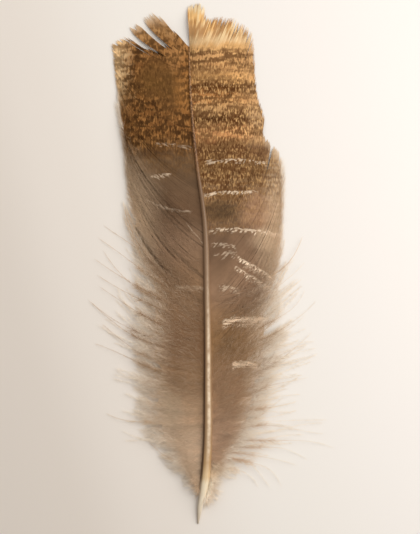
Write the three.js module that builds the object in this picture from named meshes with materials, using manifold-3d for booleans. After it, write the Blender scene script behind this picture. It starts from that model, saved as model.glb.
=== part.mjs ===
// A turkey wing feather lying on its underside, as one solid.
//
// Millimetres, +Z up. The feather points along +Y: the quill's tip is at the low end and the
// vane's square tip at the high end. Z = 0 is the surface it lies on. The shaft is a bent,
// tapered cylinder with a flat underside. Each vane is a row of locks, thin tapered blades that
// leave the shaft and curve forward, fused to the shaft and to their neighbours. The tables are
// laid out from the quill, and at the end the whole is moved to put the middle of its outline
// at X = 0, Y = 0.

import * as THREE from "three";
import { mergeVertices } from "three/addons/utils/BufferGeometryUtils.js";
import Module from "manifold-3d";

// ---- Driving dimensions ------------------------------------------------------------------

const QUILL_TIP_Y = -90; // the sharp lower end of the quill
const SHAFT_END_Y = 75.5; // where the shaft runs out, inside the vane's tip
const SHAFT_SIDES = 12;
const SHAFT_STEPS = 24;
const SHAFT_HEIGHT = 0.92; // height over width
const UNDERSIDE_CUT = 1.25; // over 1, the round section is cut off flat at Z = 0

const ARCH_RISE = 3.0; // how far the shaft arches off the surface
const ARCH_FROM_Y = -40;
const ARCH_TO_Y = 84;

const LOCK_STEPS = 6;
const LOCK_OVERLAP = 1.12; // a lock's width over its pitch, so that neighbours fuse
const LOCK_RIDGE = 0.22; // how far a lock's middle stands above its edges
const LOCK_TILT = 0.3; // one edge rides over the neighbour's
const VANE_THICKNESS = 0.5;
const DOWN_THICKNESS = 0.9; // halfway along a lock of down
const TIP_CLEARANCE = 0.02; // under a lock's tip
const VANE_SWELL = 1.3; // how far a vane bulges up between shaft and edge
const ROOT_HEIGHT = 0.34; // where a lock leaves the shaft, as a share of the shaft's height
const RAGGED_SHARE = 0.13; // how much shorter than its neighbours a lock of down can be
const RAGGED_TURN = 2.4; // radians from one lock to the next in that rhythm
const TIP_PACE = 0.5; // what a step of the tips counts for in spacing the locks, against the roots

// The shaft from the quill up: [Y, X of its middle, width].
const SHAFT = [
  [QUILL_TIP_Y, -4, 0.7],
  [-84, -3.3, 1.9],
  [-77, -1.9, 3],
  [-66, -0.9, 3.3],
  [-40, -0.6, 2.7],
  [-10, -0.9, 2.2],
  [15, -1.7, 1.7],
  [35, -4.4, 1.2],
  [60, -6.6, 0.8],
  [SHAFT_END_Y, -7.1, 0.4],
];

// A vane from its base up: [root's Y, tip's X, tip's Y, bow in degrees, looseness]. The bow is how
// far a lock turns forward on its way out, and a negative one droops. Looseness is 0 in the closed
// vane and 1 in the down.
const RIGHT_VANE = [
  [-80, 1.5, -84.5, -6, 1],
  [-76.3, 6, -79, -12, 1],
  [-70, 20.3, -74.2, -20, 1],
  [-66.6, 31.4, -68.7, -16, 1],
  [-63, 48.5, -61.5, -8, 1],
  [-58.3, 41, -48.6, -6, 1],
  [-48.5, 39.5, -30, -4, 1],
  [-42, 38.5, -17, -8, 0.9],
  [-38.5, 34, -3, 0, 0.7],
  [-35.4, 28.8, 5, 14, 0.2],
  [-22.9, 26.9, 23.9, 20, 0],
  [-12.5, 25.8, 34.3, 20, 0],
  [0.7, 21.3, 43, 20, 0],
  [22.2, 18.6, 58.6, 20, 0],
  [41.5, 18.2, 74.9, 20, 0],
  [48.6, 15.8, 80.5, 18, 0],
  [61.7, 7.1, 85.7, 13, 0],
  [74.9, -7.1, 90, 3, 0],
];

const LEFT_VANE = [
  [-78.4, -5.7, -79.1, 0, 1],
  [-70.1, -18.6, -69.4, 8, 1],
  [-57.6, -33.8, -55.5, 8, 1],
  [-51.3, -38.7, -47.9, 10, 1],
  [-38.8, -41.5, -26.4, 14, 1],
  [-31.9, -46.3, -13.9, 16, 1],
  [-26.4, -44.5, -0.3, 16, 1],
  [-22.9, -40.1, 6.9, 16, 0.9],
  [-19.4, -35.2, 15.3, 16, 0.6],
  [-16, -29.6, 21.5, 18, 0.1],
  [-10.4, -27.6, 30.5, 20, 0],
  [-2.1, -27.9, 38.8, 20, 0],
  [7.6, -29, 47.2, 20, 0],
  [33.3, -32.1, 61, 20, 0],
  [63.8, -33.8, 77.7, 14, 0],
];

// The three torn locks at the left of the tip, from the main vane up, each with its own two
// edges in a vane's columns.
const TORN_LOCKS = [
  [
    [65, -31, 79.6, 16, 0],
    [66, -30.4, 80.2, 16, 0],
  ],
  [
    [66.6, -28, 82, 12, 0],
    [69.6, -25.6, 83.8, 12, 0],
  ],
  [
    [70.2, -23.4, 85.4, 8, 0],
    [75.2, -18, 87.4, 8, 0],
  ],
];

const RIGHT_LOCKS = 33;
const LEFT_LOCKS = 30;

// ---- Shape -------------------------------------------------------------------------------

const clamp01 = (t) => Math.min(1, Math.max(0, t));
const smooth = (t) => clamp01(t) ** 2 * (3 - 2 * clamp01(t));
const mix = (a, b, t) => a + (b - a) * t;

/** The row of a table at a given first column, mixed between its neighbours. */
function rowAt(table, key) {
  let i = 1;
  while (i < table.length - 1 && table[i][0] < key) i += 1;
  const [low, high] = [table[i - 1], table[i]];
  const t = (key - low[0]) / (high[0] - low[0]);
  return low.map((value, column) => mix(value, high[column], t));
}

/** The Z of the shaft's underside: flat on the surface at the quill, then one low arch. */
function shaftFloor(y) {
  const t = clamp01((y - ARCH_FROM_Y) / (ARCH_TO_Y - ARCH_FROM_Y));
  return ARCH_RISE * Math.sin(Math.PI * t) ** 2;
}

/** The shaft: a cylinder whose rings follow the table, with a flat underside. */
function shaftGeometry() {
  const geometry = new THREE.CylinderGeometry(1, 1, 1, SHAFT_SIDES, SHAFT_STEPS);
  const place = geometry.getAttribute("position");
  for (let i = 0; i < place.count; i += 1) {
    const y = mix(QUILL_TIP_Y, SHAFT_END_Y, place.getY(i) + 0.5);
    const [, middle, width] = rowAt(SHAFT, y);
    const height = width * SHAFT_HEIGHT;
    const lift = (height / 2) * (1 - UNDERSIDE_CUT * place.getZ(i));
    const x = middle - (width / 2) * place.getX(i);
    place.setXYZ(i, x, y, shaftFloor(y) + Math.max(0, lift));
  }
  return geometry;
}

/** A barb's curve in plan, from the middle of the shaft to its tip. */
function barbCurve(row) {
  const [rootY, tipX, tipY, bow] = row;
  const root = new THREE.Vector2(rowAt(SHAFT, rootY)[1], rootY);
  const tip = new THREE.Vector2(tipX, tipY);
  const chord = tip.clone().sub(root);
  const turn = THREE.MathUtils.degToRad(bow) * Math.sign(chord.x);
  const reach = chord.length() * 0.36;
  const leave = new THREE.Vector2(0, 0);
  const arrive = chord.clone().setLength(reach).rotateAround(leave, turn);
  const depart = chord.clone().setLength(reach).rotateAround(leave, -turn);
  return new THREE.CubicBezierCurve(
    root,
    root.clone().add(depart),
    tip.clone().sub(arrive),
    tip,
  );
}

/** A lock's width at a share of its length: full at the root, then narrowing to its tip. */
function lockWidth(along, loose) {
  const narrowFrom = mix(0.84, 0.3, loose);
  const lost = mix(0.6, 0.86, loose);
  return LOCK_OVERLAP * (1 - lost * smooth((along - narrowFrom) / (1 - narrowFrom)));
}

/** The Z of a lock's middle at a share of its length: from the shaft, up, and down to rest. */
function lockHeight(along, rootZ, restZ) {
  const swell = VANE_SWELL * Math.sin(Math.PI * along) ** 1.5;
  return mix(Math.max(rootZ, restZ), restZ, along ** 1.4) + swell;
}

/** One lock between two barbs: a box bent to follow them, narrowing to its tip. */
function lockGeometry(low, high, side) {
  const geometry = new THREE.BoxGeometry(1, 1, 1, 2, LOCK_STEPS, 1);
  const place = geometry.getAttribute("position");
  const rootY = (low[0] + high[0]) / 2;
  const loose = (low[4] + high[4]) / 2;
  const rootZ = shaftFloor(rootY) + rowAt(SHAFT, rootY)[2] * SHAFT_HEIGHT * ROOT_HEIGHT;
  for (let i = 0; i < place.count; i += 1) {
    const across = place.getX(i);
    const along = place.getY(i) + 0.5;
    const top = place.getZ(i);
    const share = 0.5 + across * lockWidth(along, loose);
    const row = low.map((value, column) => mix(value, high[column], share));
    const point = barbCurve(row).getPoint(along);
    const full = mix(VANE_THICKNESS, DOWN_THICKNESS, loose * Math.sin(Math.PI * along));
    const thick = full * mix(1, 0.7, along);
    const relief = smooth(along / 0.2);
    const restZ = thick / 2 + LOCK_TILT / 2 + TIP_CLEARANCE;
    const ridge = top > 0 && across === 0 ? LOCK_RIDGE * relief : 0;
    const tilt = LOCK_TILT * across * relief;
    place.setXYZ(i, point.x, point.y, lockHeight(along, rootZ, restZ) + top * thick + ridge + tilt);
  }
  if (side > 0) flipFaces(geometry);
  return geometry;
}

/** Turns every face round, for a lock whose across direction is mirrored. */
function flipFaces(geometry) {
  const order = geometry.index.array;
  for (let i = 0; i < order.length; i += 3) {
    [order[i + 1], order[i + 2]] = [order[i + 2], order[i + 1]];
  }
}

/** A row with its tip drawn in towards the shaft by a share of the reach. */
function drawnIn(row, share) {
  const [rootY, tipX, tipY, ...rest] = row;
  const rootX = rowAt(SHAFT, rootY)[1];
  return [rootY, mix(tipX, rootX, share), mix(tipY, rootY, share), ...rest];
}

/** A vane's table with a first column that adds up the steps of the roots and of the tips. */
function paced(table) {
  let pace = 0;
  return table.map((row, i) => {
    const [rootY, tipX, tipY] = table[Math.max(0, i - 1)];
    pace += row[0] - rootY + TIP_PACE * Math.hypot(row[1] - tipX, row[2] - tipY);
    return [pace, ...row];
  });
}

/** A vane's locks, in equal steps of that pace. */
function vaneLocks(table, count, side) {
  const rows = paced(table);
  const last = rows[rows.length - 1][0];
  return Array.from({ length: count }, (_, i) => {
    const [low, high] = [i, i + 1].map((step) => rowAt(rows, (last * step) / count).slice(1));
    const short = RAGGED_SHARE * low[4] * Math.sin(i * RAGGED_TURN) ** 2;
    return lockGeometry(drawnIn(low, short), drawnIn(high, short), side);
  });
}

// ---- Joining -----------------------------------------------------------------------------

const wasm = await Module();
wasm.setup();

/** A closed geometry as a solid that can be joined. */
function solidOf(geometry) {
  geometry.deleteAttribute("normal");
  geometry.deleteAttribute("uv");
  const merged = mergeVertices(geometry, 1e-4);
  const mesh = new wasm.Mesh({
    numProp: 3,
    vertProperties: merged.getAttribute("position").array,
    triVerts: new Uint32Array(merged.index.array),
  });
  return new wasm.Manifold(mesh);
}

/** A joined solid as a geometry. */
function geometryOf(solid) {
  const mesh = solid.getMesh();
  const geometry = new THREE.BufferGeometry();
  geometry.setAttribute("position", new THREE.BufferAttribute(mesh.vertProperties, 3));
  geometry.setIndex(new THREE.BufferAttribute(mesh.triVerts, 1));
  geometry.computeVertexNormals();
  return geometry;
}

/** Moves a geometry so that the middle of its outline is at X = 0, Y = 0. */
function centred(geometry) {
  geometry.computeBoundingBox();
  const middle = geometry.boundingBox.getCenter(new THREE.Vector3());
  return geometry.translate(-middle.x, -middle.y, 0);
}

/** The whole feather: the shaft with every lock joined to it. */
function featherGeometry() {
  const locks = [
    ...vaneLocks(RIGHT_VANE, RIGHT_LOCKS, 1),
    ...vaneLocks(LEFT_VANE, LEFT_LOCKS, -1),
    ...TORN_LOCKS.map(([low, high]) => lockGeometry(low, high, -1)),
  ];
  const shaft = solidOf(shaftGeometry());
  return centred(geometryOf(locks.map(solidOf).reduce((joined, lock) => joined.add(lock), shaft)));
}

const plumage = new THREE.MeshStandardMaterial({ color: 0x7d6046, roughness: 0.8, metalness: 0 });

const feather = new THREE.Mesh(featherGeometry(), plumage);
feather.name = "feather";

const part = new THREE.Group();
part.add(feather);

export default part;
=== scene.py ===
"""A turkey wing feather, lying with its upper side up on a pale surface.

The feather is one grown thing: a shaft, a closed vane on each side of it, loose down round its
base and three torn locks at the left of its tip. Tables give, for a barb's root on the shaft,
where its tip lies. Every barb is then a curve between the two, and every blade, web, hair and wisp
follows such curves.

Tables and sizes are in millimetres, and meshes are in metres.
"""

import logging
import math
from collections.abc import Sequence
from dataclasses import dataclass
from enum import Enum

import bpy
import numpy as np
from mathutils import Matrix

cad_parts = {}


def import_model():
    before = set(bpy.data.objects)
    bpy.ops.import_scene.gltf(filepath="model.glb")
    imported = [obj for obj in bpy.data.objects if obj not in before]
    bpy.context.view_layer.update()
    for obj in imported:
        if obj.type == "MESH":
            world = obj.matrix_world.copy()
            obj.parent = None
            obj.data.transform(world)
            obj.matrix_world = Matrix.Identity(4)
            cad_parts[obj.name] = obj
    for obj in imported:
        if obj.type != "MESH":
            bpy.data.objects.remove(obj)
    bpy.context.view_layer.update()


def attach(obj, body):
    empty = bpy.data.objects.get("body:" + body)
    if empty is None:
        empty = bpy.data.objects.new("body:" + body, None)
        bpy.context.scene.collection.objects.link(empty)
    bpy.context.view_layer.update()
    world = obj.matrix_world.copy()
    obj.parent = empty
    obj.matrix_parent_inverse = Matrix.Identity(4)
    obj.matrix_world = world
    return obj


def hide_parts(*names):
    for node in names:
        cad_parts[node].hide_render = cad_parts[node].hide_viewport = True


log = logging.getLogger("feather")

MM = 0.001
BODY = "root"
NODE = "feather"
ORIGIN = np.array([0.062, 0.234, 0.0])  # where the tables' X = 0, Y = 0 lies in the frame
STRAND = "strand"  # per vertex: its barb's number, how pale it is and the barb's random number, low as painted shadow below a fold
BAKE_MAP = "OFBake"
MAP_START, MAP_SPAN = 0.005, 0.99  # where a barb's strip lies along the flat map
FOLD_PAINTED_SHADOW = -1.8  # the random number of barbs just below a fold, which darkens them: painted shadow of the fold's raised edge
WIDEST_SPACING = 1.2  # of barbs, whatever the table gives where they fan out
FULL_TURN = 6.3  # in radians
RIM_WIDTH = 5.0  # of the pale outer rim of a closed vane
LONG_END = 5.0  # the length of a free end past which its hairs thin out

Socket = bpy.types.NodeSocket
Colour = tuple[float, float, float]
Stops = tuple[tuple[float, Colour], ...]


class Side(Enum):
    """The two sides of the shaft, by the sign of X."""

    LEFT = -1
    RIGHT = 1


# ---- Curves and grids --------------------------------------------------------------------------


def smooth(value: np.ndarray) -> np.ndarray:
    """The smooth step 3t^2 - 2t^3 of values held between 0 and 1."""
    held = np.clip(value, 0.0, 1.0)
    return held * held * (3.0 - 2.0 * held)


def mix(low: np.ndarray, high: np.ndarray, share: np.ndarray) -> np.ndarray:
    """Values between low and high by a share from 0 to 1."""
    return low + (high - low) * share


def unit(vectors: np.ndarray) -> np.ndarray:
    """Vectors along the last axis, each brought to length 1."""
    return vectors / np.maximum(np.linalg.norm(vectors, axis=-1, keepdims=True), 1e-9)


def stacked(shape: tuple[int, ...], *columns: np.ndarray) -> np.ndarray:
    """Columns that are each stretched to one shape, as one row for each of its points."""
    spread = [np.broadcast_to(column, shape).ravel() for column in columns]
    return np.stack(spread, axis=-1)


def table_at(table: Sequence[Sequence[float]], key: np.ndarray) -> np.ndarray:
    """Reads a table at many keys along smooth curves through its rows.

    Between two rows the value is a cubic Hermite curve whose slope at a row is the mean slope of
    the rows before and after it.

    Args:
        table: Rows in rising order of their first column, the key.
        key: Where to read it.

    Returns:
        One row for each key, with every column but the first.
    """
    rows = np.asarray(table, dtype=float)
    knots, values = rows[:, 0], rows[:, 1:]
    slopes = np.gradient(values, knots, axis=0)
    key = np.clip(key, knots[0], knots[-1])
    i = np.clip(np.searchsorted(knots, key, side="right") - 1, 0, len(knots) - 2)
    span = (knots[i + 1] - knots[i])[..., None]
    t = (key - knots[i])[..., None] / span
    start, end = values[i], values[i + 1]
    bend = t * (1 - t) * ((1 - t) * slopes[i] * span - t * slopes[i + 1] * span)
    steady = start + (end - start) * t
    hump = t * (1 - t) * (1 - 2 * t)
    return steady + bend - hump * (end - start)


# ---- Meshes ------------------------------------------------------------------------------------


@dataclass
class Surface:
    """Points and faces that become one mesh, with what the finishes read.

    Attributes:
        points: One row of X, Y, Z for each point, in millimetres of the tables.
        faces: Arrays of corner numbers, one row for each face, of any face size.
        strand: One row for each point: its barb's number, paleness, random number.
        sheet: One row for each point: its place on the flat map.
    """

    points: np.ndarray
    faces: list[np.ndarray]
    strand: np.ndarray
    sheet: np.ndarray

    def joined(self, other: "Surface") -> "Surface":
        """This surface and another as one."""
        shifted = [faces + len(self.points) for faces in other.faces]
        return Surface(
            np.concatenate([self.points, other.points]),
            self.faces + shifted,
            np.concatenate([self.strand, other.strand]),
            np.concatenate([self.sheet, other.sheet]),
        )

    def banded(self, low: float, high: float) -> "Surface":
        """This surface with its flat map squeezed into a band between two shares of the height."""
        sheet = np.stack([self.sheet[:, 0], mix(low, high, self.sheet[:, 1])], axis=-1)
        return Surface(self.points, self.faces, self.strand, sheet)

    def piece(self, name: str, material: bpy.types.Material, slot: str) -> bpy.types.Object:
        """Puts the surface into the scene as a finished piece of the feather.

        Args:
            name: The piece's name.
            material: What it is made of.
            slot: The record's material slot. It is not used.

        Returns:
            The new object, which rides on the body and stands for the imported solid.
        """
        mesh = bpy.data.meshes.new(name)
        corners = np.concatenate([faces.ravel() for faces in self.faces]).astype(np.int32)
        sides = np.concatenate([np.full(len(faces), faces.shape[1]) for faces in self.faces])
        starts = (np.cumsum(sides) - sides).astype(np.int32)
        mesh.vertices.add(len(self.points))
        mesh.vertices.foreach_set("co", ((self.points + ORIGIN) * MM).astype(np.float32).ravel())
        mesh.loops.add(len(corners))
        mesh.loops.foreach_set("vertex_index", corners)
        mesh.polygons.add(len(sides))
        mesh.polygons.foreach_set("loop_start", starts)
        mesh.polygons.foreach_set("use_smooth", np.ones(len(sides), dtype=bool))
        strand = mesh.attributes.new(STRAND, "FLOAT_VECTOR", "POINT")
        strand.data.foreach_set("vector", self.strand.astype(np.float32).ravel())
        bake = mesh.uv_layers.new(name=BAKE_MAP)
        bake.data.foreach_set("uv", self.sheet[corners].astype(np.float32).ravel())
        mesh.materials.append(material)
        mesh.update(calc_edges=True)
        made = bpy.data.objects.new(name, mesh)
        bpy.context.scene.collection.objects.link(made)
        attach(made, BODY)
        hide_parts(NODE)
        log.info("%s: %d points, %d faces", name, len(self.points), len(sides))
        return made


def strip_faces(strips: int, rows: int, columns: int) -> np.ndarray:
    """The four-sided faces of many separate grids of one size.

    Point number is (strip * rows + row) * columns + column, and each face joins two rows and two
    columns.

    Args:
        strips: How many grids there are.
        rows: Points along each grid.
        columns: Points across each grid.

    Returns:
        One row of four corner numbers for each face.
    """
    strip, row, column = np.meshgrid(
        np.arange(strips), np.arange(rows - 1), np.arange(columns - 1), indexing="ij"
    )
    corner = ((strip * rows + row) * columns + column).ravel()
    return np.stack([corner, corner + 1, corner + columns + 1, corner + columns], axis=1)


# ---- The feather's form ------------------------------------------------------------------------


@dataclass(frozen=True)
class Shaft:
    """The quill and the shaft above it: a bent, tapered horn rod with a flat underside.

    Attributes:
        course: From the quill up: Y, X of the middle, width.
        height: Height over width.
        underside_cut: Over 1, the round section is cut off flat below.
        arch: How far it arches off the surface, from what Y and to what Y.
        root_height: Where barbs leave it, as a share of its height.
        around: Points round the section.
        steps: Rings along it.
    """

    course: tuple[tuple[float, float, float], ...] = (
        (-90.0, -4.0, 0.5),
        (-84.0, -3.3, 1.9),
        (-77.0, -1.9, 3.0),
        (-66.0, -0.9, 3.3),
        (-40.0, -0.6, 2.7),
        (-10.0, -0.9, 2.2),
        (15.0, -1.7, 1.7),
        (35.0, -4.4, 1.2),
        (60.0, -6.6, 0.8),
        (75.5, -7.1, 0.35),
    )
    height: float = 0.92
    underside_cut: float = 1.25
    arch: tuple[float, float, float] = (3.0, -40.0, 84.0)
    root_height: float = 0.34
    around: int = 28
    steps: int = 150

    def middle(self, y: np.ndarray) -> np.ndarray:
        """The X of the shaft's middle at each Y."""
        return table_at(self.course, y)[..., 0]

    def width(self, y: np.ndarray) -> np.ndarray:
        """The shaft's width at each Y."""
        return table_at(self.course, y)[..., 1]

    def floor(self, y: np.ndarray) -> np.ndarray:
        """The Z of the underside at each Y: rise * sin^2 between the arch's two ends."""
        rise, low, high = self.arch
        return rise * np.sin(np.pi * np.clip((y - low) / (high - low), 0, 1)) ** 2

    def surface(self) -> Surface:
        """The rod as rings along its course, closed by a fan at each end.

        A ring's point at an angle a lies at X = middle + width / 2 * sin(a) and
        Z = floor + max(0, height / 2 * (1 + cut * cos(a))), with a = 0 at the top.
        """
        y = mix(self.course[0][0], self.course[-1][0], np.linspace(0, 1, self.steps))
        angle = np.linspace(0, 2 * np.pi, self.around, endpoint=False)
        width = self.width(y)[:, None]
        x = self.middle(y)[:, None] + width / 2 * np.sin(angle)
        lift = width * self.height / 2 * (1 + self.underside_cut * np.cos(angle))
        z = self.floor(y)[:, None] + np.maximum(0.0, lift)
        rings = np.stack([x, np.broadcast_to(y[:, None], x.shape), z], axis=-1)
        ring, turn = np.meshgrid(np.arange(self.steps - 1), np.arange(self.around), indexing="ij")
        low, ahead = ring * self.around, (turn + 1) % self.around
        faces = np.stack(
            [low + turn, low + self.around + turn, low + self.around + ahead, low + ahead], axis=-1
        ).reshape(-1, 4)
        caps = [np.arange(self.around)[None], np.arange(self.around)[None, ::-1]]
        caps[1] = caps[1] + (self.steps - 1) * self.around
        along = np.linspace(0, 1, self.steps)[:, None]
        strand = stacked(x.shape, np.sin(angle), np.cos(angle), along)
        fold = 1 - np.abs(angle / np.pi - 1)
        sheet = stacked(x.shape, 0.01 + 0.98 * along, 0.02 + 0.96 * fold)
        return Surface(rings.reshape(-1, 3), [faces, *caps], strand, sheet)


@dataclass
class Barbs:
    """The curves of many barbs, as arrays over barb and step.

    Attributes:
        points: Each barb's path.
        forward: The unit direction along it.
        across: The unit direction in plan towards the next barb up the shaft.
        spacing: How far apart neighbours lie, before any of them parts from the others.
        closed: Each barb's share of its length that holds to its neighbours.
        downy: How much of each barb is down, from 0 to 1.
        fray: The length of each barb's thin free end.
        seed: Each barb's own random number, set low just below a fold as painted shadow.
        length: Each barb's length.
        root: The Y of each barb's root.
        pallor: How pale its free end gets, from 0 to 1.
        rim: How pale its last few millimetres are in the closed vane, from 0 to 1.
    """

    points: np.ndarray
    forward: np.ndarray
    across: np.ndarray
    spacing: np.ndarray
    closed: np.ndarray
    downy: np.ndarray
    fray: np.ndarray
    seed: np.ndarray
    length: np.ndarray
    root: np.ndarray
    pallor: np.ndarray
    rim: np.ndarray

    @property
    def along(self) -> np.ndarray:
        """The share of the length at each step."""
        return np.linspace(0, 1, self.points.shape[1])

    @property
    def number(self) -> np.ndarray:
        """Each barb's number, from the base up."""
        return np.arange(len(self.points), dtype=float)

    @property
    def overhang(self) -> np.ndarray:
        """How long the part of each barb is that holds to nothing."""
        return self.length * (1 - self.closed)

    def chosen(self, which: np.ndarray) -> "Barbs":
        """Some of the barbs, by their numbers."""
        return Barbs(*(getattr(self, key)[which] for key in self.__dataclass_fields__))

    def at(self, values: np.ndarray, barb: np.ndarray, share: np.ndarray) -> np.ndarray:
        """Reads an array over barb and step at shares of the length, linearly between steps.

        Args:
            values: What to read, with barb and step as its first two axes.
            barb: Which barb each reading is on.
            share: Where on that barb it is, from 0 to 1. It has the shape of barb.

        Returns:
            The value for each barb and share.
        """
        place = np.clip(share, 0, 1) * (self.points.shape[1] - 1.001)
        step = place.astype(int)
        part = place - step
        if values.ndim == 3:
            part = part[..., None]
        return mix(values[barb, step], values[barb, step + 1], part)

    def paleness(self, barb: np.ndarray, share: np.ndarray) -> np.ndarray:
        """How pale a barb is at a share of its length: down is from inside its closed part on.

        Args:
            barb: Which barb.
            share: Where on it, from 0 to 1.

        Returns:
            The greater of pallor * downy * (share / closed - 0.45) / 1.1 and of rim * smooth(1 -
            distance to the tip / RIM_WIDTH), held between 0 and 1.
        """
        outward = share / self.closed[barb]
        down = self.pallor[barb] * self.downy[barb] * (outward - 0.45) / 1.1
        edge = self.rim[barb] * smooth(1 - (1 - share) * self.length[barb] / RIM_WIDTH)
        return np.clip(np.maximum(down, edge), 0, 1)


@dataclass(frozen=True)
class Row:
    """A run of barbs that leave one side of the shaft one after another.

    Attributes:
        side: The side of the shaft.
        table: From the lowest root up: root's Y, tip's X, tip's Y, bow in degrees, closed share
            of the length, length of the free end. The bow is how far a barb turns forward on its
            way out, and a negative one droops.
        pitches: How far apart the roots are at some heights. With none, one barb grows at each
            row of the table and reaches its full length.
        clump: How many millimetres of roots gather into one lock.
        gather: How far a lock's barbs draw together at their tips.
        curl: How far a loose barb waves to either side at its tip.
        ragged: How much the barbs' lengths differ in the closed vane.
        long_share: How many of the down's barbs stand out past the rest.
        haze: How far into the free length the rest reach at most.
        splits: Roots' Y where the vane has come apart, and how far its edges part.
        folds: Roots' Y where the barbs above ride up over those below, and how far. The barbs
            just below are darkened there as painted shadow.
        pallor: How pale the down's free ends get, from 0 to 1.
        rims: Roots' Y and how pale the vane's outer rim is there, from 0 to 1.
        inset: How far to the side of the shaft's middle a barb is rooted, as a share of the width.
        handle: Each handle of a barb's Bezier curve, as a share of its chord.
        down_free: The free share of the length from which on a barb is all down.
        lock_widths: A lock's least and greatest width, over the clump.
        gather_from: The share of the length past which barbs draw together, and how much sooner
            they do in the down.
        loose_gather: How much more they draw together in the down.
        part_from: The share of the length past which a split opens.
        fold_at: The share of the length where a fold starts and where it has its full height.
        sway: How far a loose barb leans to one side at its tip.
        waves: The fewest and the most radians that a loose barb waves through.
        ruffle: How far loose barbs rise, and by how much they differ in it.
        wander: How many degrees the bows differ in the vane, and how many more in the down.
        fade: How far along the shaft a split's or a fold's effect on the barbs beside it reaches.
        swell: How far a vane bulges up between shaft and edge.
        rest: The Z of a barb's tip before it is ruffled.
        heights: The lowest and the highest Z that a barb may have.
        seed: Starts the random numbers.
        steps: Points along a barb.
    """

    side: Side
    table: tuple[tuple[float, ...], ...]
    pitches: tuple[tuple[float, float], ...] = ((-80.0, 0.5), (80.0, 0.5))
    clump: float = 2.6
    gather: float = 0.3
    curl: float = 0.5
    ragged: float = 0.02
    long_share: float = 0.36
    haze: float = 0.6
    splits: tuple[tuple[float, float], ...] = ()
    folds: tuple[tuple[float, float], ...] = ()
    pallor: float = 1.0
    rims: tuple[tuple[float, float], ...] = ((-80.0, 0.0), (80.0, 0.0))
    inset: float = 0.3
    handle: float = 0.36
    down_free: float = 0.35
    lock_widths: tuple[float, float] = (0.5, 1.6)
    gather_from: tuple[float, float] = (0.72, 0.3)
    loose_gather: float = 0.25
    part_from: float = 0.62
    fold_at: tuple[float, float] = (0.35, 0.65)
    sway: float = 1.1
    waves: tuple[float, float] = (3.0, 9.0)
    ruffle: tuple[float, float] = (0.1, 0.35)
    wander: tuple[float, float] = (0.6, 7.0)
    fade: tuple[float, float] = (2.2, 2.5)
    swell: float = 1.3
    rest: float = 0.32
    heights: tuple[float, float] = (0.14, 4.3)
    seed: int = 1
    steps: int = 30

    @property
    def along(self) -> np.ndarray:
        """The share of a barb's length at each step."""
        return np.linspace(0, 1, self.steps)

    def roots(self) -> np.ndarray:
        """The roots' Y, a pitch apart: where 1 / pitch summed along the shaft is a whole number.

        Returns:
            One Y for each barb, from the base up.
        """
        if not self.pitches:
            return np.array([row[0] for row in self.table])
        y = np.linspace(self.table[0][0], self.table[-1][0], 600)
        density = 1 / table_at(self.pitches, y)[:, 0]
        number = np.cumsum(density) * (y[1] - y[0])
        return np.interp(np.arange(int(number[-1]) + 1), number - number[0], y)

    def paths(self, shaft: Shaft, root: np.ndarray, tip: np.ndarray, bow: np.ndarray) -> np.ndarray:
        """Barbs in plan: cubic Bezier curves from the shaft to the tips.

        The chord is turned back by the bow at the root and forward by it at the tip, and each
        handle is a share of the chord.

        Args:
            shaft: What they grow from.
            root: Each root's Y.
            tip: Each tip's X and Y.
            bow: Each barb's bow in degrees.

        Returns:
            X and Y for each barb and step.
        """
        x = shaft.middle(root) + self.side.value * shaft.width(root) * self.inset
        start = np.stack([x, root], axis=-1)
        chord = tip - start
        turn = np.radians(bow) * self.side.value
        handles = [self.turned(chord, way * turn) * self.handle for way in (-1, 1)]
        t = self.along[None, :, None]
        a, b = start[:, None], (start + handles[0])[:, None]
        c, d = (tip - handles[1])[:, None], tip[:, None]
        return (1 - t) ** 3 * a + 3 * t * (1 - t) ** 2 * b + 3 * t * t * (1 - t) * c + t**3 * d

    @staticmethod
    def turned(vectors: np.ndarray, angle: np.ndarray) -> np.ndarray:
        """Plan vectors turned by angles, positive from +X to +Y."""
        cos, sin = np.cos(angle), np.sin(angle)
        x, y = vectors[:, 0], vectors[:, 1]
        return np.stack([x * cos - y * sin, x * sin + y * cos], axis=-1)

    def locks(self, root: np.ndarray, rng: np.random.Generator) -> np.ndarray:
        """The Y of the middle of the lock that each root belongs to.

        Args:
            root: Each root's Y.
            rng: Gives the locks their widths.

        Returns:
            One Y for each root.
        """
        count = int((root[-1] - root[0]) / self.clump) + 2
        edges = root[0] + np.cumsum(self.clump * rng.uniform(*self.lock_widths, count * 2))
        edges = np.sort(np.concatenate([[root[0] - 1], edges, [y for y, _ in self.splits]]))
        lock = np.searchsorted(edges, root)
        middle = (edges[lock - 1] + edges[np.minimum(lock, len(edges) - 1)]) / 2
        return np.clip(middle, root[0], root[-1])

    def reach(
        self, middle: np.ndarray, closed: np.ndarray, downy: np.ndarray, rng: np.random.Generator
    ) -> np.ndarray:
        """How much of its full length each barb has.

        In the closed vane all reach nearly 1. In the down each lock has a reach of its own, and
        most of its barbs end in a haze a little past the share that holds together.

        Args:
            middle: The Y of the middle of each barb's lock.
            closed: Each barb's closed share.
            downy: How much of each barb is down.
            rng: Gives the random shares.

        Returns:
            One share for each barb.
        """
        if not self.pitches:
            return np.ones(len(middle))
        locks, own = np.unique(middle, return_inverse=True)
        lock_reach = rng.uniform(0.15, 1.0, len(locks))[own]
        count = len(middle)
        long = mix(closed, 1.0, lock_reach * rng.uniform(0.6, 1.0, count))
        short = mix(closed, 1.0, self.haze * rng.random(count) ** 1.2 - 0.05)
        down = np.where(rng.random(count) < self.long_share, long, short)
        vane = 1 - self.ragged * rng.random(count) ** 1.5
        return mix(vane, down, downy)

    def upward(self, forward: np.ndarray) -> np.ndarray:
        """Plan directions square to others, towards the next barb up the shaft."""
        return np.stack([-forward[..., 1], forward[..., 0]], axis=-1) * self.side.value

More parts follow.
